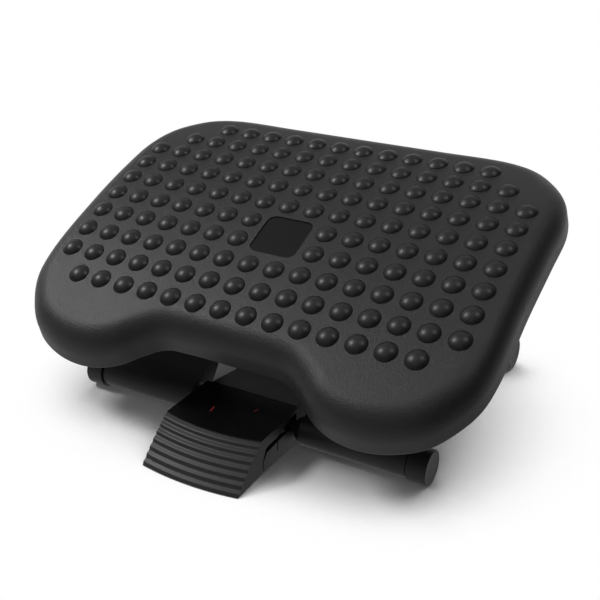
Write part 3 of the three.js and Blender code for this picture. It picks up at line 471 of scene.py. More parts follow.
# %% Deck ribs and bosses
rib_thickness = 2.0
rib_depth = 12.0
ribs_lengthways = (-152.0, -76.0, 76.0, 152.0)
ribs_across = (-104.0, 104.0)
rib_gap = 5.0
rib_sections = 49
rib_least = 0.2
boss_radius = 5.0
boss_sides = 24
boss_edge = 0.5
bracket_place = 40.0
bracket_gap = 0.3
rib_reach = inset(deck_outline, rib_gap)


def crossings(axis, value):
    """Where the inner edge of the skirt crosses a line of constant X or Y: the lowest and highest places."""
    found = []
    for first, second in zip(rib_reach, np.roll(rib_reach, -1, axis=0)):
        if (first[axis] - value) * (second[axis] - value) < 0:
            share = (value - first[axis]) / (second[axis] - first[axis])
            found.append(first[1 - axis] + share * (second[1 - axis] - first[1 - axis]))
    return min(found), max(found)


def shell_level(x, y):
    """The height of the deck's outer face over a point, without the crown."""
    start = deck_outline
    span = np.roll(start, -1, axis=0) - start
    along = ((np.array((x, y)) - start) * span).sum(axis=1) / (span**2).sum(axis=1)
    nearest = start + span * np.clip(along, 0, 1)[:, None]
    inwards = np.hypot(nearest[:, 0] - x, nearest[:, 1] - y).min() - flare
    short = max(shoulder - inwards, 0.0)
    return math.sqrt(max(shoulder**2 - short**2, 0.0)) - shoulder


def rib_strip(axis, value):
    low, high = crossings(axis, value)
    bottom = -wall - rib_depth
    sections = []
    for along in np.linspace(low, high, rib_sections):
        middle = (value, along) if axis == 0 else (along, value)
        top = max(shell_level(*middle) - wall / 2, bottom + rib_least)
        corners = []
        for side, level in ((-1, top), (1, top), (1, bottom), (-1, bottom)):
            across = value + side * rib_thickness / 2
            x, y = (across, along) if axis == 0 else (along, across)
            corners.append((x * MM, y * MM, (level - float(crown(y))) * MM))
        sections.append(corners)
    return surface("rib", sections)


def circle(radius, count, x=0.0, y=0.0):
    turns = np.arange(count) / count * 2 * math.pi
    return np.column_stack((x + radius * np.cos(turns), y + radius * np.sin(turns)))


def stack_of_circles(name, section, sides, x=0.0, y=0.0):
    """A turned solid about an upright line, from (radius, height) pairs."""
    rings = []
    for radius, level in section:
        rings.append(np.column_stack((circle(radius, sides, x, y), np.full(sides, level))) * MM)
    return surface(name, rings)


screw_heads = [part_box(f"bracket_screw_{side}_{i}") for side in ("left", "right") for i in (1, 2)]
boss_places = [to_deck.inverted() @ ((low + high) / 2) for low, high in screw_heads]
boss_bottom = -wall - float(crown(bracket_place)) - bracket_gap
boss_top = -wall * 0.6
boss_section = [
    (boss_radius - boss_edge, boss_bottom), (boss_radius, boss_bottom + boss_edge), (boss_radius, boss_top),
]
under_deck = [rib_strip(0, x) for x in ribs_lengthways] + [rib_strip(1, y) for y in ribs_across]
for place in boss_places:
    under_deck.append(stack_of_circles("boss", boss_section, boss_sides, place.x / MM, place.y / MM))
print("ribs and bosses:", len(under_deck))

# %% Joining meshes, and cutting one with another
def join_meshes(name, meshes):
    work = bmesh.new()
    for mesh in meshes:
        work.from_mesh(mesh)
    whole = bpy.data.meshes.new(name)
    work.to_mesh(whole)
    work.free()
    return whole


def cut_away(piece, tool_mesh):
    tool = new_object("cutter", tool_mesh)
    cutter = piece.modifiers.new("cut", "BOOLEAN")
    cutter.operation = "DIFFERENCE"
    cutter.solver = "EXACT"
    cutter.object = tool
    settle(piece)
    bpy.data.objects.remove(tool)
    return piece


print("cutting helpers ready")

# %% [markdown]
# In the middle of the deck a rounded square recess holds a small plate. On the real footrest a maker would
# put a badge there. Here it stays blank, and its soft bevel catches the light.

# %% Recess and plate
plate_size = 47.0
plate_corner = 8.5
plate_centre = -26.0
recess_floor = -1.9
above_deck = 3.0
plate_top = -0.68


def rounded_square(size, corner, steps=10):
    reach = size / 2 - corner
    points = []
    for quarter in range(4):
        start = quarter * math.pi / 2
        x = math.copysign(reach, math.cos(start + math.pi / 4))
        y = math.copysign(reach, math.sin(start + math.pi / 4)) + plate_centre
        for i in range(steps + 1):
            angle = start + i / steps * math.pi / 2
            points.append((x + corner * math.cos(angle), y + corner * math.sin(angle)))
    return np.array(points)


def plate_ring(shrink, level):
    outline = rounded_square(plate_size - 2 * shrink, max(plate_corner - shrink, 1.0))
    return np.column_stack((outline, level - crown(outline[:, 1]))) * MM


def plate_block(name, levels):
    return surface(name, [plate_ring(shrink, level) for shrink, level in levels])


deck_shell = add_piece("deck_body", clean(deck_mesh, sharp=60.0), "deck_plastic")
recess = plate_block("recess", [(0.0, recess_floor), (0.0, 0.0), (0.0, above_deck)])
cut_away(deck_shell, clean(recess))
deck_shell.data = clean(
    join_meshes("deck_body", [deck_shell.data] + under_deck), place=to_deck, sharp=40.0, merge=1e-7
)
deck_shell.data.materials.append(finishes["deck_plastic"])
dress(deck_shell, "deck", "deck_plastic", "deck_shell")

# Each pair is how far a ring lies inside the recess, and its height.
plate_levels = [(0.4, -1.7), (0.4, -0.95), (0.5, -0.78), (0.75, -0.7)]
plate_levels += [(shrink, plate_top) for shrink in (1.0, 1.3, 6.0, 14.0, 20.0)]
plate = add_piece("deck_plate", clean(plate_block("plate", plate_levels), place=to_deck), "badge_plastic")
dress(plate, "deck", "gloss_black_plastic", "badge_plate")
print("deck body:", len(deck_shell.data.polygons), "faces, plate:", len(plate.data.polygons))

# %% [markdown]
# ## Domes with Geometry Nodes
#
# The 148 massage domes are one shape, repeated on a square grid, so Geometry Nodes fit well. The grid's
# points are a small mesh. The tree makes one dome from a sphere, puts a copy on each point and leans it with
# the crown. Copies made this way are instances, which the export would drop, so the tree realizes them.

# %% The points of the domes
dome_pitch = 26.0
domes_per_row = (12, 14, 16, 16, 16, 16, 16, 16, 16, 14)
dome_points = []
for row, count in enumerate(domes_per_row):
    y = ((len(domes_per_row) - 1) / 2 - row) * dome_pitch
    for column in range(count):
        x = (column - (count - 1) / 2) * dome_pitch
        if abs(x) > plate_size / 2 or abs(y - plate_centre) > plate_size / 2:
            dome_points.append((x * MM, y * MM, -float(crown(y)) * MM))
print("domes:", len(dome_points))

# %% Geometry Nodes helpers
def tree_with_inputs(name, inputs):
    tree = bpy.data.node_groups.new(name, "GeometryNodeTree")
    tree.interface.new_socket(name="Geometry", in_out="INPUT", socket_type="NodeSocketGeometry")
    for label, kind in inputs:
        tree.interface.new_socket(name=label, in_out="INPUT", socket_type=kind)
    tree.interface.new_socket(name="Geometry", in_out="OUTPUT", socket_type="NodeSocketGeometry")
    return tree, tree.nodes.new("NodeGroupInput"), tree.nodes.new("NodeGroupOutput")


def end_tree(tree, group_in, group_out, copies):
    """Makes the copies real geometry, gives them the tree's Finish and sends them out."""
    real = add_node(tree, "GeometryNodeRealizeInstances", {0: copies.outputs[0]})
    painted = add_node(tree, "GeometryNodeSetMaterial", {
        "Geometry": real.outputs[0], "Material": group_in.outputs["Finish"],
    })
    fill(group_out, {0: painted.outputs[0]})
    print("tree", tree.name)


def copies_on_points(name, points, tree, values):
    """Makes an object of bare points, lets a tree put its copies on them and keeps them as plain mesh."""
    mesh = bpy.data.meshes.new(name)
    mesh.from_pydata(points, [], [])
    piece = new_object(name, mesh)
    modifier = piece.modifiers.new(tree.name, "NODES")
    modifier.node_group = tree
    for item in tree.interface.items_tree:
        if item.in_out == "INPUT" and item.name in values:
            modifier[item.identifier] = values[item.name]
    return settle(piece)


print("tree helpers ready")

# %% The dome tree
dome_tree, dome_in, dome_out = tree_with_inputs(
    "massage_domes",
    [("Radius", "NodeSocketFloat"), ("Height", "NodeSocketFloat"), ("Foot Angle", "NodeSocketFloat"),
     ("Crown Radius", "NodeSocketFloat"), ("Finish", "NodeSocketMaterial")],
)
sphere = add_node(dome_tree, "GeometryNodeMeshUVSphere", {"Segments": 20, "Rings": 12, "Radius": 1.0})
# The upper half is turned into a shallow cap that meets the deck at the foot angle. The lower half is
# pressed flat, so the dome is a closed button that ends inside the wall of the deck.
flat_share = 0.3
spot = dome_tree.nodes.new("GeometryNodeInputPosition").outputs[0]
parts = add_node(dome_tree, "ShaderNodeSeparateXYZ", {0: spot})
foot_sine = math_node(dome_tree, "SINE", dome_in.outputs["Foot Angle"], 0.0)
foot_cosine = math_node(dome_tree, "COSINE", dome_in.outputs["Foot Angle"], 0.0)
upper = math_node(dome_tree, "MAXIMUM", parts.outputs["Z"], 0.0)
spread = math_node(dome_tree, "SUBTRACT", 1.0, math_node(dome_tree, "MULTIPLY", upper, upper))
spread = math_node(dome_tree, "MULTIPLY", spread, math_node(dome_tree, "MULTIPLY", foot_sine, foot_sine))
arc = math_node(dome_tree, "SQRT", math_node(dome_tree, "SUBTRACT", 1.0, spread), 0.0)
rise = math_node(dome_tree, "SUBTRACT", arc, foot_cosine)
rise = math_node(dome_tree, "DIVIDE", rise, math_node(dome_tree, "SUBTRACT", 1.0, foot_cosine))
lower = math_node(dome_tree, "MULTIPLY", math_node(dome_tree, "MINIMUM", parts.outputs["Z"], 0.0), flat_share)
pressed = add_node(dome_tree, "ShaderNodeCombineXYZ", {
    "X": parts.outputs["X"], "Y": parts.outputs["Y"], "Z": math_node(dome_tree, "ADD", rise, lower),
})
press = add_node(dome_tree, "GeometryNodeSetPosition", {
    "Geometry": sphere.outputs["Mesh"], "Position": pressed.outputs[0],
})
soft = add_node(dome_tree, "GeometryNodeSetShadeSmooth", {0: press.outputs[0]})
size = add_node(dome_tree, "ShaderNodeCombineXYZ", {
    "X": dome_in.outputs["Radius"], "Y": dome_in.outputs["Radius"], "Z": dome_in.outputs["Height"],
})
# Each dome leans with the crown. On the grid the same position node gives the grid's points.
slope = math_node(dome_tree, "DIVIDE", parts.outputs["Y"], dome_in.outputs["Crown Radius"])
lean =add_node(dome_tree, "ShaderNodeCombineXYZ", {"X": math_node(dome_tree, "MULTIPLY", slope, -1.0)})
end_tree(dome_tree, dome_in, dome_out, add_node(dome_tree, "GeometryNodeInstanceOnPoints", {
    "Points": dome_in.outputs["Geometry"], "Instance": soft.outputs[0], "Rotation": lean.outputs[0],
    "Scale": size.outputs[0],
}))

# %% Domes
dome_radius = 10.0
dome_height = 4.5
dome_foot_angle = math.radians(52.0)
domes = copies_on_points("deck_domes", dome_points, dome_tree, {
    "Radius": dome_radius * MM, "Height": dome_height * MM, "Foot Angle": dome_foot_angle,
    "Crown Radius": crown_radius * MM, "Finish": finishes["dome_plastic"],
})
domes.data.transform(to_deck)
dress(domes, "deck", "deck_plastic", "deck_shell")
print("domes:", len(domes.data.polygons), "faces")

# %% [markdown]
# ## Pieces that keep the CAD shape
#
# The leg, the base, the brackets and the tube already have the right shape, but their edges are razor sharp
# and their round parts show facets. Real mouldings have a small radius on every edge, and that thin line of
# light says plastic more than any texture does. So a copy of each mesh is merged, its flat faces are freed
# of their triangles, and a Bevel modifier rounds what is left. The CAD mesh itself is never touched.

# %% Rounded copies
merge_distance = 2e-6
flat_angle = math.radians(0.4)
corner_angle = 32.0


def round_edges(piece, radius, least_angle):
    bevel = piece.modifiers.new("edges", "BEVEL")
    bevel.width = radius * MM
    bevel.segments = 2
    bevel.limit_method = "ANGLE"
    bevel.angle_limit = math.radians(least_angle)
    weight = piece.modifiers.new("flat faces", "WEIGHTED_NORMAL")
    weight.keep_sharp = True
    return settle(piece)


def rounded_copy(node, radius, material):
    mesh = nodes[node].data.copy()
    work = bmesh.new()
    work.from_mesh(mesh)
    bmesh.ops.remove_doubles(work, verts=work.verts, dist=merge_distance)
    bmesh.ops.dissolve_limit(
        work, angle_limit=flat_angle, verts=work.verts, edges=work.edges, delimit={"NORMAL"}
    )
    work.to_mesh(mesh)
    work.free()
    mesh.shade_smooth()
    mesh.materials.clear()
    piece = round_edges(add_piece(f"{node}_finished", mesh, material), radius, corner_angle)
    return dress(piece, body_of_node[node], slot_of_node[node], node)


edge_radii = {
    "leg_shell": 0.6, "base_spine": 0.6, "pedal_base": 0.5, "deck_bracket_left": 0.4,
    "deck_bracket_right": 0.4, "rear_tube": 0.3, "front_axle": 0.3, "pivot_rod": 0.4, "pivot_nut_left": 0.5,
    "pivot_nut_right": 0.5, "friction_washer_left": 0.2, "friction_washer_right": 0.2,
}
for node, radius in edge_radii.items():
    # The base spine takes the duller spine finish. Its darker colour is painted shade under the deck.
    copy = rounded_copy(node, radius, "dull_shaded_spine_plastic" if node == "base_spine" else slot_of_node[node])
    print(copy.name, len(copy.data.polygons), "faces")

# %% [markdown]
# ## Round feet
#
# Each foot bar ends in a soft cap. A cap is a solid of revolution, so its section is drawn once and turned
# about the bar. The section has a rolled edge and a very shallow dish in its end face, which is what gives
# the lit disc with a darker rim.

# %% Caps
def turned(name, section, centre, side, count=64):
    """Turns (across, radius) pairs about a line along X. Across is measured outwards from the middle."""
    angles = np.arange(count) / count * 2 * math.pi
    rings = []
    for across, radius in section:
        ring = np.column_stack((
            np.full(count, side * across * MM),
            centre[0] + radius * MM * np.cos(angles),
            centre[1] + radius * MM * np.sin(angles),
        ))
        rings.append(ring)
    return clean(surface(name, rings), sharp=40.0)


cap_radius = 16.1
cap_length = 18.0
cap_edge = 0.5
cap_roll = 1.3
cap_roll_steps = 5
cap_dish = 0.3


def cap_section(end):
    near = end - cap_length
    section = [(near, cap_radius - 4.0), (near, cap_radius - cap_edge), (near + cap_edge, cap_radius)]
    section += [(near + cap_length * share, cap_radius) for share in (0.25, 0.5, 0.75, 0.9)]
    for i in range(cap_roll_steps + 1):
        angle = i / cap_roll_steps * math.pi / 2
        across = end - cap_roll + cap_roll * math.sin(angle)
        section.append((across, cap_radius - cap_roll + cap_roll * math.cos(angle)))
    section.append((end - cap_dish / 2, cap_radius - 2.6))
    return section + [(end - cap_dish, radius) for radius in (cap_radius - 3.4, 7.0, 2.0)]


for row in ("front", "rear"):
    for name, side in (("left", -1), ("right", 1)):
        low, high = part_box(f"{row}_cap_{name}")
        end = max(abs(low.x), abs(high.x)) / MM
        middle = ((low.y + high.y) / 2, cap_radius * MM)
        cap = turned("cap", cap_section(end), middle, side)
        cap = add_piece(f"{row}_cap_{name}_turned", cap, "black_rubber")
        dress(cap, body_of_node[f"{row}_cap_{name}"], "black_rubber", f"{row}_cap_{name}")
        print(cap.name, "ends at", round(end, 1), "mm")

# %% [markdown]
# ## Pedal
#
# The treadle's front is bowed, and its slope carries seven grip ribs. The shape is one section that changes
# slowly from the left side to the right, so it is lofted: the same list of points is worked out at each
# station across, and the stations are joined. Each rib is a small step: a short riser and a tread that leans
# back, so the treads catch the lamp and the risers stay dark. The hollow inside and the long slit at the
# side are then cut away, as a tool maker would do it.

# %% Pedal sizes
axle_low, axle_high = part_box("front_axle")
axle_y = (axle_low.y + axle_high.y) / 2 / MM
pedal_half = 49.0
pedal_top = 34.0
pedal_foot = 1.0
foot_ahead = 97.45
top_ahead = 59.75
foot_bow = 4.65
top_bow = 6.8
face_bulge = 1.25
back_behind = 4.1
heel = 2.2
seam_ahead = 57.5
pedal_wall = 2.5
grip_ribs = 7
grip_depth = 1.5
grip_crest = 0.42
grip_softness = 0.16
points_per_rib = 12
below_floor = -4.0
block_extra = 4.0
face_angle = math.atan2(pedal_top - pedal_foot, foot_ahead - top_ahead)


def face_point(x, rise, depth):
    bow = 1 - (x / pedal_half) ** 2
    foot = -foot_ahead - foot_bow * bow
    top = -top_ahead - top_bow * bow
    proud = face_bulge * math.sin(math.pi * rise) - depth
    y = foot + (top - foot) * rise - math.sin(face_angle) * proud
    z = pedal_foot + (pedal_top - pedal_foot) * rise + math.cos(face_angle) * proud
    return y, z


def grip_wave(rise):
    """How deep the surface lies under the crests of the ribs, at a share of the way up the slope."""
    shifts = (-1.0, -0.5, 0.0, 0.5, 1.0)
    total = 0.0
    for shift in shifts:
        part = (rise * grip_ribs + shift * grip_softness / 2) % 1.0
        total += 1 - part / grip_crest if part < grip_crest else (part - grip_crest) / (1 - grip_crest)
    return grip_depth * total / len(shifts)


def pedal_section(x):
    points = [(-seam_ahead, heel), (back_behind, heel), (back_behind, pedal_top)]
    brink = face_point(x, 1.0, grip_depth)
    points += [(back_behind + (brink[0] - back_behind) * share, pedal_top) for share in (0.3, 0.6, 0.85, 1.0)]
    points.append(brink)
    count = grip_ribs * points_per_rib
    for i in range(count - 1, 0, -1):
        points.append(face_point(x, i / count, grip_wave(i / count)))
    points.append(face_point(x, 0.0, grip_depth / 2))
    return points


def hollow_section(x):
    depth = grip_depth + pedal_wall
    top = face_point(x, 1.0, depth)
    ceiling = pedal_top - pedal_wall
    back = back_behind + block_extra
    return [
        (face_point(x, 0.0, depth)[0], below_floor), (back, below_floor), (back, ceiling),
        (top[0] + pedal_wall, ceiling), face_point(x, 0.5, depth),
    ]


print("pedal slope", round(math.degrees(face_angle), 1), "degrees")

# %% Lofts and blocks with closed ends
def close_ends(mesh):
    work = bmesh.new()
    work.from_mesh(mesh)
    bmesh.ops.holes_fill(work, edges=[e for e in work.edges if e.is_boundary], sides=0)
    bmesh.ops.recalc_face_normals(work, faces=work.faces)
    work.to_mesh(mesh)
    work.free()
    return mesh


def loft_across(name, section, places):
    """Joins the sections at some places across. A section is drawn in Y and Z, from the front axle."""
    rings = [[(x * MM, (axle_y + y) * MM, z * MM) for y, z in section(x)] for x in places]
    return close_ends(surface(name, rings, close=False))


def block_across(outline, left, right):
    return loft_across("block", lambda x: outline, (left, right))


cover_edge = [(1, 0.37), (0.91, 0.66), (0.83, 0.7), (0.585, 0.7), (0.36, 0.79), (0.17, 0.91)]
cover_edge = [(-ahead * seam_ahead, up * pedal_top) for ahead, up in cover_edge]
side_outline = [(back_behind + block_extra, below_floor), (back_behind + block_extra, pedal_top - pedal_wall)]
side_outline += cover_edge[::-1] + [(-seam_ahead, below_floor)]
print("side slit:", len(cover_edge), "corners")

# %% Pedal cover
pedal_stations = np.linspace(-pedal_half, pedal_half, 41)
hollow_stations = np.linspace(pedal_wall - pedal_half, pedal_half - pedal_wall, 21)
pedal = add_piece("pedal_treadle", loft_across("pedal", pedal_section, pedal_stations), "grip_plastic")
cut_away(pedal, loft_across("hollow", hollow_section, hollow_stations))
cut_away(pedal, block_across(side_outline, -pedal_half - block_extra, pedal_half + block_extra))

# The plunger pushes the brake lever, and two lugs carry the hinge pin.
plunger_ahead = 39.6
plunger_half = 1.5
plunger_low = 12.1
plunger_high = 32.5
plunger_reach = 8.0
lug_ahead = 77.6
lug_radius = 4.0
lug_height = 8.0
lug_sides = ((-44.0, -38.0), (38.0, 44.0))
near, far = -plunger_ahead - plunger_half, -plunger_ahead + plunger_half
plunger = [(near, plunger_low), (far, plunger_low), (far, plunger_high), (near, plunger_high)]
eye = []
for angle in np.linspace(-math.pi, 0, 13):
    eye.append((-lug_ahead + lug_radius * math.cos(angle), lug_height + lug_radius * math.sin(angle)))
eye += [(-lug_ahead + lug_radius, 20.0), (-lug_ahead - lug_radius, 14.0)]
inner_parts = [block_across(plunger, -plunger_reach, plunger_reach)]
inner_parts += [block_across(eye, left, right) for left, right in lug_sides]
pedal.data = clean(join_meshes("pedal_treadle", [pedal.data] + inner_parts), sharp=180.0, merge=1e-7)
for material in ("grip_plastic", "gloss_black_plastic", "frame_plastic"):
    pedal.data.materials.append(finishes[material])
round_edges(pedal, 0.45, 50.0)
for face in pedal.data.polygons:
    if face.normal.z > 0.999 and face.center.z > (pedal_top - 0.1) * MM:
        face.material_index = 1
    elif abs(face.normal.x) > 0.9:
        face.material_index = 2
dress(pedal, "pedal", "gloss_black_plastic", "pedal_cover")
print("pedal:", len(pedal.data.polygons), "faces")

# %% [markdown]
# Two short slanted strokes are printed on the pedal's top, to show where to press. They are thin raised
# patches of paint, as screen printing leaves them.

# %% Printed strokes
red_print = finish("red_print", (0.30, 0.016, 0.014), 0.45, 0.0004, 0.000004, lift=0.3)
print_foot = pedal_top - 0.1
print_top = pedal_top + 0.06


def prism(name, corners, levels):
    """An upright block over some corners, in millimetres."""
    rings = [[(x * MM, y * MM, z * MM) for x, y in corners] for z in levels]
    return close_ends(surface(name, rings, close=False))


strokes = []
for start, end, width in (((-15.8, -39.6), (-17.2, -31.6), 1.5), ((18.0, -21.6), (19.2, -15.6), 1.2)):
    start, end = (Vector((x, axle_y + y)) for x, y in (start, end))
    along = end - start
    side = Vector((along.y, -along.x)).normalized() * width / 2
    corners = (start - side, start + side, end + side, end - side)
    strokes.append(prism("stroke", corners, (print_foot, print_top)))
marks = join_meshes("pedal_marks", strokes)
marks.materials.append(red_print)
marks = add_piece("pedal_marks", marks, "gloss_black_plastic")
dress(marks, "pedal", "gloss_black_plastic")
print("strokes:", len(strokes))

# %% [markdown]
# ## Screws with Geometry Nodes
#
# The same pan head screw appears ten times. One pattern screw is modelled with its cross recess, and a tree
# sets it on points that come from the CAD screws. The screws of the deck are placed in the deck's own flat
# pose and then turned with it.

# %% The screw and its tree
head_radius = 3.6
head_height = 1.4
shank_radius = 1.8
screw_sides = 24
slot_half_length = 2.0
slot_half_width = 0.4
slot_depth = 0.8


def screw_pattern(length):
    section = [
        (shank_radius * 0.6, -length), (shank_radius, -length + 0.8), (shank_radius, 0.0), (head_radius, 0.0),
        (head_radius, head_height * 0.45), (head_radius * 0.86, head_height * 0.85),
        (head_radius * 0.5, head_height),
    ]
    screw = add_piece("screw", clean(stack_of_circles("screw", section, screw_sides)), "zinc_steel")
    for half_x, half_y in ((slot_half_length, slot_half_width), (slot_half_width, slot_half_length)):
        corners = [(-half_x, -half_y), (half_x, -half_y), (half_x, half_y), (-half_x, half_y)]
        cut_away(screw, prism("slot", corners, (head_height - slot_depth, head_height + 1)))
    clean(screw.data, sharp=30.0, merge=1e-7)
    return screw


screw_tree, screw_in, screw_out = tree_with_inputs(
    "screws_on_points",
    [("Pattern", "NodeSocketObject"), ("Turn", "NodeSocketFloat"), ("Finish", "NodeSocketMaterial")],
)
info = add_node(screw_tree, "GeometryNodeObjectInfo", {"Object": screw_in.outputs["Pattern"]})
about = add_node(screw_tree, "ShaderNodeCombineXYZ", {"X": screw_in.outputs["Turn"]})
end_tree(screw_tree, screw_in, screw_out, add_node(screw_tree, "GeometryNodeInstanceOnPoints", {
    "Points": screw_in.outputs["Geometry"], "Instance": info.outputs["Geometry"],
    "Rotation": about.outputs[0],
}))

# %% Set the screws
def set_screws(name, members, body, head_down, length, matrix=Matrix.Identity(4)):
    back = matrix.inverted()
    seats = []
    for member in members:
        points = [back @ v.co for v in nodes[member].data.vertices]
        middle = sum(points, Vector()) / len(points)
        heights = [p.z for p in points]
        level = min(heights) + head_height * MM if head_down else max(heights) - head_height * MM
        seats.append((middle.x, middle.y, level))
    pattern = screw_pattern(length)
    piece = copies_on_points(name, seats, screw_tree, {
        "Pattern": pattern, "Turn": math.pi if head_down else 0.0, "Finish": finishes["zinc_steel"],
    })
    bpy.data.objects.remove(pattern)
    piece.data.transform(matrix)
    dress(piece, body, "zinc_steel", *members)
    print(name, len(members), "screws,", len(piece.data.polygons), "faces")


def matching(start):
    return sorted(node for node in nodes if node.startswith(start))


set_screws("bracket_screws", matching("bracket_screw"), "deck", head_down=True, length=7.0, matrix=to_deck)
set_screws("spine_screws", matching("spine_screw"), "base", head_down=True, length=13.0)
set_screws("clamp_screws", matching("clamp_screw"), "base", head_down=False, length=5.0)

# %% [markdown]
# ## Return springs
#
# Two coil springs push the treadle up, and they shorten when a foot presses it down. A tree builds each one
# from a spiral swept with a round wire.

# %% The spring tree
spring_tree, spring_in, spring_out = tree_with_inputs(
    "springs_on_points",
    [("Turns", "NodeSocketFloat"), ("Radius", "NodeSocketFloat"), ("Height", "NodeSocketFloat"),
     ("Wire", "NodeSocketFloat"), ("Finish", "NodeSocketMaterial")],
)
spiral = add_node(spring_tree, "GeometryNodeCurveSpiral", {
    "Resolution": 28, "Rotations": spring_in.outputs["Turns"], "Height": spring_in.outputs["Height"],
    "Start Radius": spring_in.outputs["Radius"], "End Radius": spring_in.outputs["Radius"],
})
wire = add_node(spring_tree, "GeometryNodeCurvePrimitiveCircle", {
    "Resolution": 12, "Radius": spring_in.outputs["Wire"],
})
coil = add_node(spring_tree, "GeometryNodeCurveToMesh", {
    "Curve": spiral.outputs[0], "Profile Curve": wire.outputs[0], "Fill Caps": True,
})
end_tree(spring_tree, spring_in, spring_out, add_node(spring_tree, "GeometryNodeInstanceOnPoints", {
    "Points": spring_in.outputs["Geometry"], "Instance": coil.outputs[0],
}))

# %% Return springs
spring_turns = 5.0
wire_radius = 0.8 * MM
spring_nodes = matching("pedal_spring")
spring_boxes = [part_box(node) for node in spring_nodes]
spring_low, spring_top = spring_boxes[0][0].z, spring_boxes[0][1].z
spring_radius = (spring_boxes[0][1].x - spring_boxes[0][0].x) / 2 - wire_radius
spring_feet = []
for low, high in spring_boxes:
    spring_feet.append(((low.x + high.x) / 2, (low.y + high.y) / 2, spring_low + wire_radius))
springs = copies_on_points("pedal_springs", spring_feet, spring_tree, {
    "Turns": spring_turns, "Radius": spring_radius, "Height": spring_top - spring_low - 2 * wire_radius,
    "Wire": wire_radius, "Finish": finishes["zinc_steel"],
})
clean(springs.data)
dress(springs, "pedal", "zinc_steel", *spring_nodes)
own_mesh(springs)
print("springs:", len(springs.data.polygons), "faces,", round((spring_top - spring_low) / MM, 1), "mm high")

# %% [markdown]
# ## Floor, light and background
# Near and under the footrest the glow fades by ambient occlusion, which paints shade there on top of the real
# shadow in the matt part.
#
# The photograph is a cut-out on white. The floor is matt and nearly white, and for camera rays it also gives
# off some white of its own, so that it reads as paper while the shadow of the footrest stays on it. The
# highlights on the domes show that the photographer had two lamps overhead, the stronger one to the left.
#
# Nearly black plastic shows mostly what it mirrors. A photographer shapes that with white screens and black
# flags. Here the floor and the world do it: for mirrored rays both are bright above, behind and to the left,
# and dark low down in front and to the right.

# %% Floor
floor_reach = 9.0
floor_level = -0.0003
paper_white = 0.86
shadow_reach = 0.26
mirror_share = 0.8
least_glow = 0.05


def ramp(tree, value, start, end, low=0.0, high=1.0):
    """A Map Range node: low up to the start, high from the end on, and even in between."""
    return add_node(tree, "ShaderNodeMapRange", {
        "Value": value, "From Min": start, "From Max": end, "To Min": low, "To Max": high,
    }).outputs["Result"]


paper = bpy.data.materials.new("studio_paper")
paper.use_nodes = True
tree = paper.node_tree
tree.nodes.clear()
path = tree.nodes.new("ShaderNodeLightPath").outputs
# Ambient occlusion fades the white glow near and under the footrest. This is painted shade, laid over the real
# shadow that the matt part shows there.
shade = add_node(tree, "ShaderNodeAmbientOcclusion", {"Distance": shadow_reach})
shade.samples = 12
unshaded_glow_share = ramp(tree, shade.outputs["AO"], 0.42, 0.74)
seen = math_node(tree, "MAXIMUM", path["Is Camera Ray"], path["Is Transmission Ray"])
seen = math_node(tree, "MULTIPLY", seen, unshaded_glow_share)
share = math_node(tree, "MAXIMUM", seen, math_node(tree, "MULTIPLY", path["Is Glossy Ray"], mirror_share))
spot = tree.nodes.new("ShaderNodeNewGeometry").outputs["Position"]
parts = add_node(tree, "ShaderNodeSeparateXYZ", {0: spot}).outputs
front_shade = ramp(tree, parts["Y"], -0.70, 0.40, low=-0.85, high=0.0)
right_shade = ramp(tree, parts["X"], 0.15, 0.60, high=-0.50)
dimming = math_node(tree, "MULTIPLY", path["Is Glossy Ray"], math_node(tree, "ADD", front_shade, right_shade))
glow_left = math_node(tree, "MAXIMUM", math_node(tree, "ADD", dimming, 1.0), least_glow)
matt = add_node(tree, "ShaderNodeBsdfDiffuse", {"Color": (paper_white, paper_white, paper_white, 1.0)})
glow = add_node(tree, "ShaderNodeEmission", {"Strength": glow_left})
blend = add_node(tree, "ShaderNodeMixShader", {"Fac": share, 1: matt.outputs[0], 2: glow.outputs[0]})
add_node(tree, "ShaderNodeOutputMaterial", {"Surface": blend.outputs[0]})

floor_signs = ((-1, -1), (1, -1), (1, 1), (-1, 1))
floor_corners = [(x * floor_reach, y * floor_reach, floor_level) for x, y in floor_signs]
floor_mesh = bpy.data.meshes.new("studio_floor")
floor_mesh.from_pydata(floor_corners, [], [(0, 1, 2, 3)])
floor_mesh.materials.append(paper)
floor = new_object("studio_floor", floor_mesh)
print("floor ready")

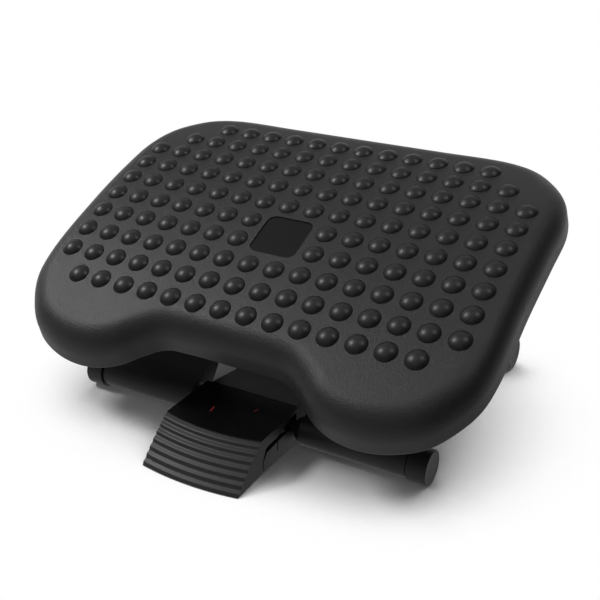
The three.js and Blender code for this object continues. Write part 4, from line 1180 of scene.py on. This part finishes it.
# %% World
soft_fill = 0.26
world = bpy.data.worlds.new("studio")
bpy.context.scene.world = world
world.use_nodes = True
tree = world.node_tree
tree.nodes.clear()
path = tree.nodes.new("ShaderNodeLightPath").outputs
way = tree.nodes.new("ShaderNodeTexCoord").outputs["Generated"]
parts = add_node(tree, "ShaderNodeSeparateXYZ", {0: way}).outputs
rear_sky = ramp(tree, parts["Y"], -0.25, 0.35, low=0.04)
upper_sky = ramp(tree, parts["Z"], 0.15, 0.80, high=1.30)
front_part = ramp(tree, parts["Y"], -0.05, 0.35, low=1.0, high=0.70)
lit_sky = math_node(tree, "MAXIMUM", rear_sky, math_node(tree, "MULTIPLY", upper_sky, front_part))
low_sky = ramp(tree, parts["Z"], 0.03, 0.40, low=0.85, high=0.46)
side_sky = ramp(tree, parts["X"], 0.10, 0.45, low=1.0, high=0.12)
mirrored_sky = math_node(tree, "MULTIPLY", math_node(tree, "MULTIPLY", lit_sky, low_sky), side_sky)
shiny = math_node(tree, "MAXIMUM", path["Is Glossy Ray"], path["Is Transmission Ray"])
seen_sky = math_node(tree, "MULTIPLY", shiny, mirrored_sky)
filled = math_node(tree, "MULTIPLY", math_node(tree, "SUBTRACT", 1.0, shiny), soft_fill)
level = math_node(tree, "MAXIMUM", math_node(tree, "ADD", seen_sky, filled), path["Is Camera Ray"])
background = add_node(tree, "ShaderNodeBackground", {"Color": (1.0, 1.0, 1.0, 1.0), "Strength": level})
add_node(tree, "ShaderNodeOutputWorld", {"Surface": background.outputs[0]})
print("world ready")

# %% Lamps
aim = Vector((0.0, 0.0, 0.15))


def softbox(name, direction, distance, size, power):
    lamp = bpy.data.lights.new(name, "AREA")
    lamp.shape = "DISK"
    lamp.size = size
    lamp.energy = power
    thing = new_object(name, lamp)
    way = Vector(direction).normalized()
    thing.location = aim + way * distance
    thing.rotation_euler = way.to_track_quat("Z", "Y").to_euler()
    return thing


softbox("key_lamp", (-0.68, -0.22, 0.71), distance=2.6, size=0.60, power=26.0)
softbox("second_lamp", (0.40, 0.05, 0.91), distance=2.6, size=0.50, power=7.5)
# The low lamp only lifts the dark parts under the deck. It leaves no highlight of its own.
front_lamp = softbox("front_lamp", (-0.55, -0.83, -0.02), distance=1.9, size=0.5, power=10.5)
front_lamp.visible_glossy = False
bpy.context.scene.view_settings.view_transform = "Standard"
print("lamps ready")
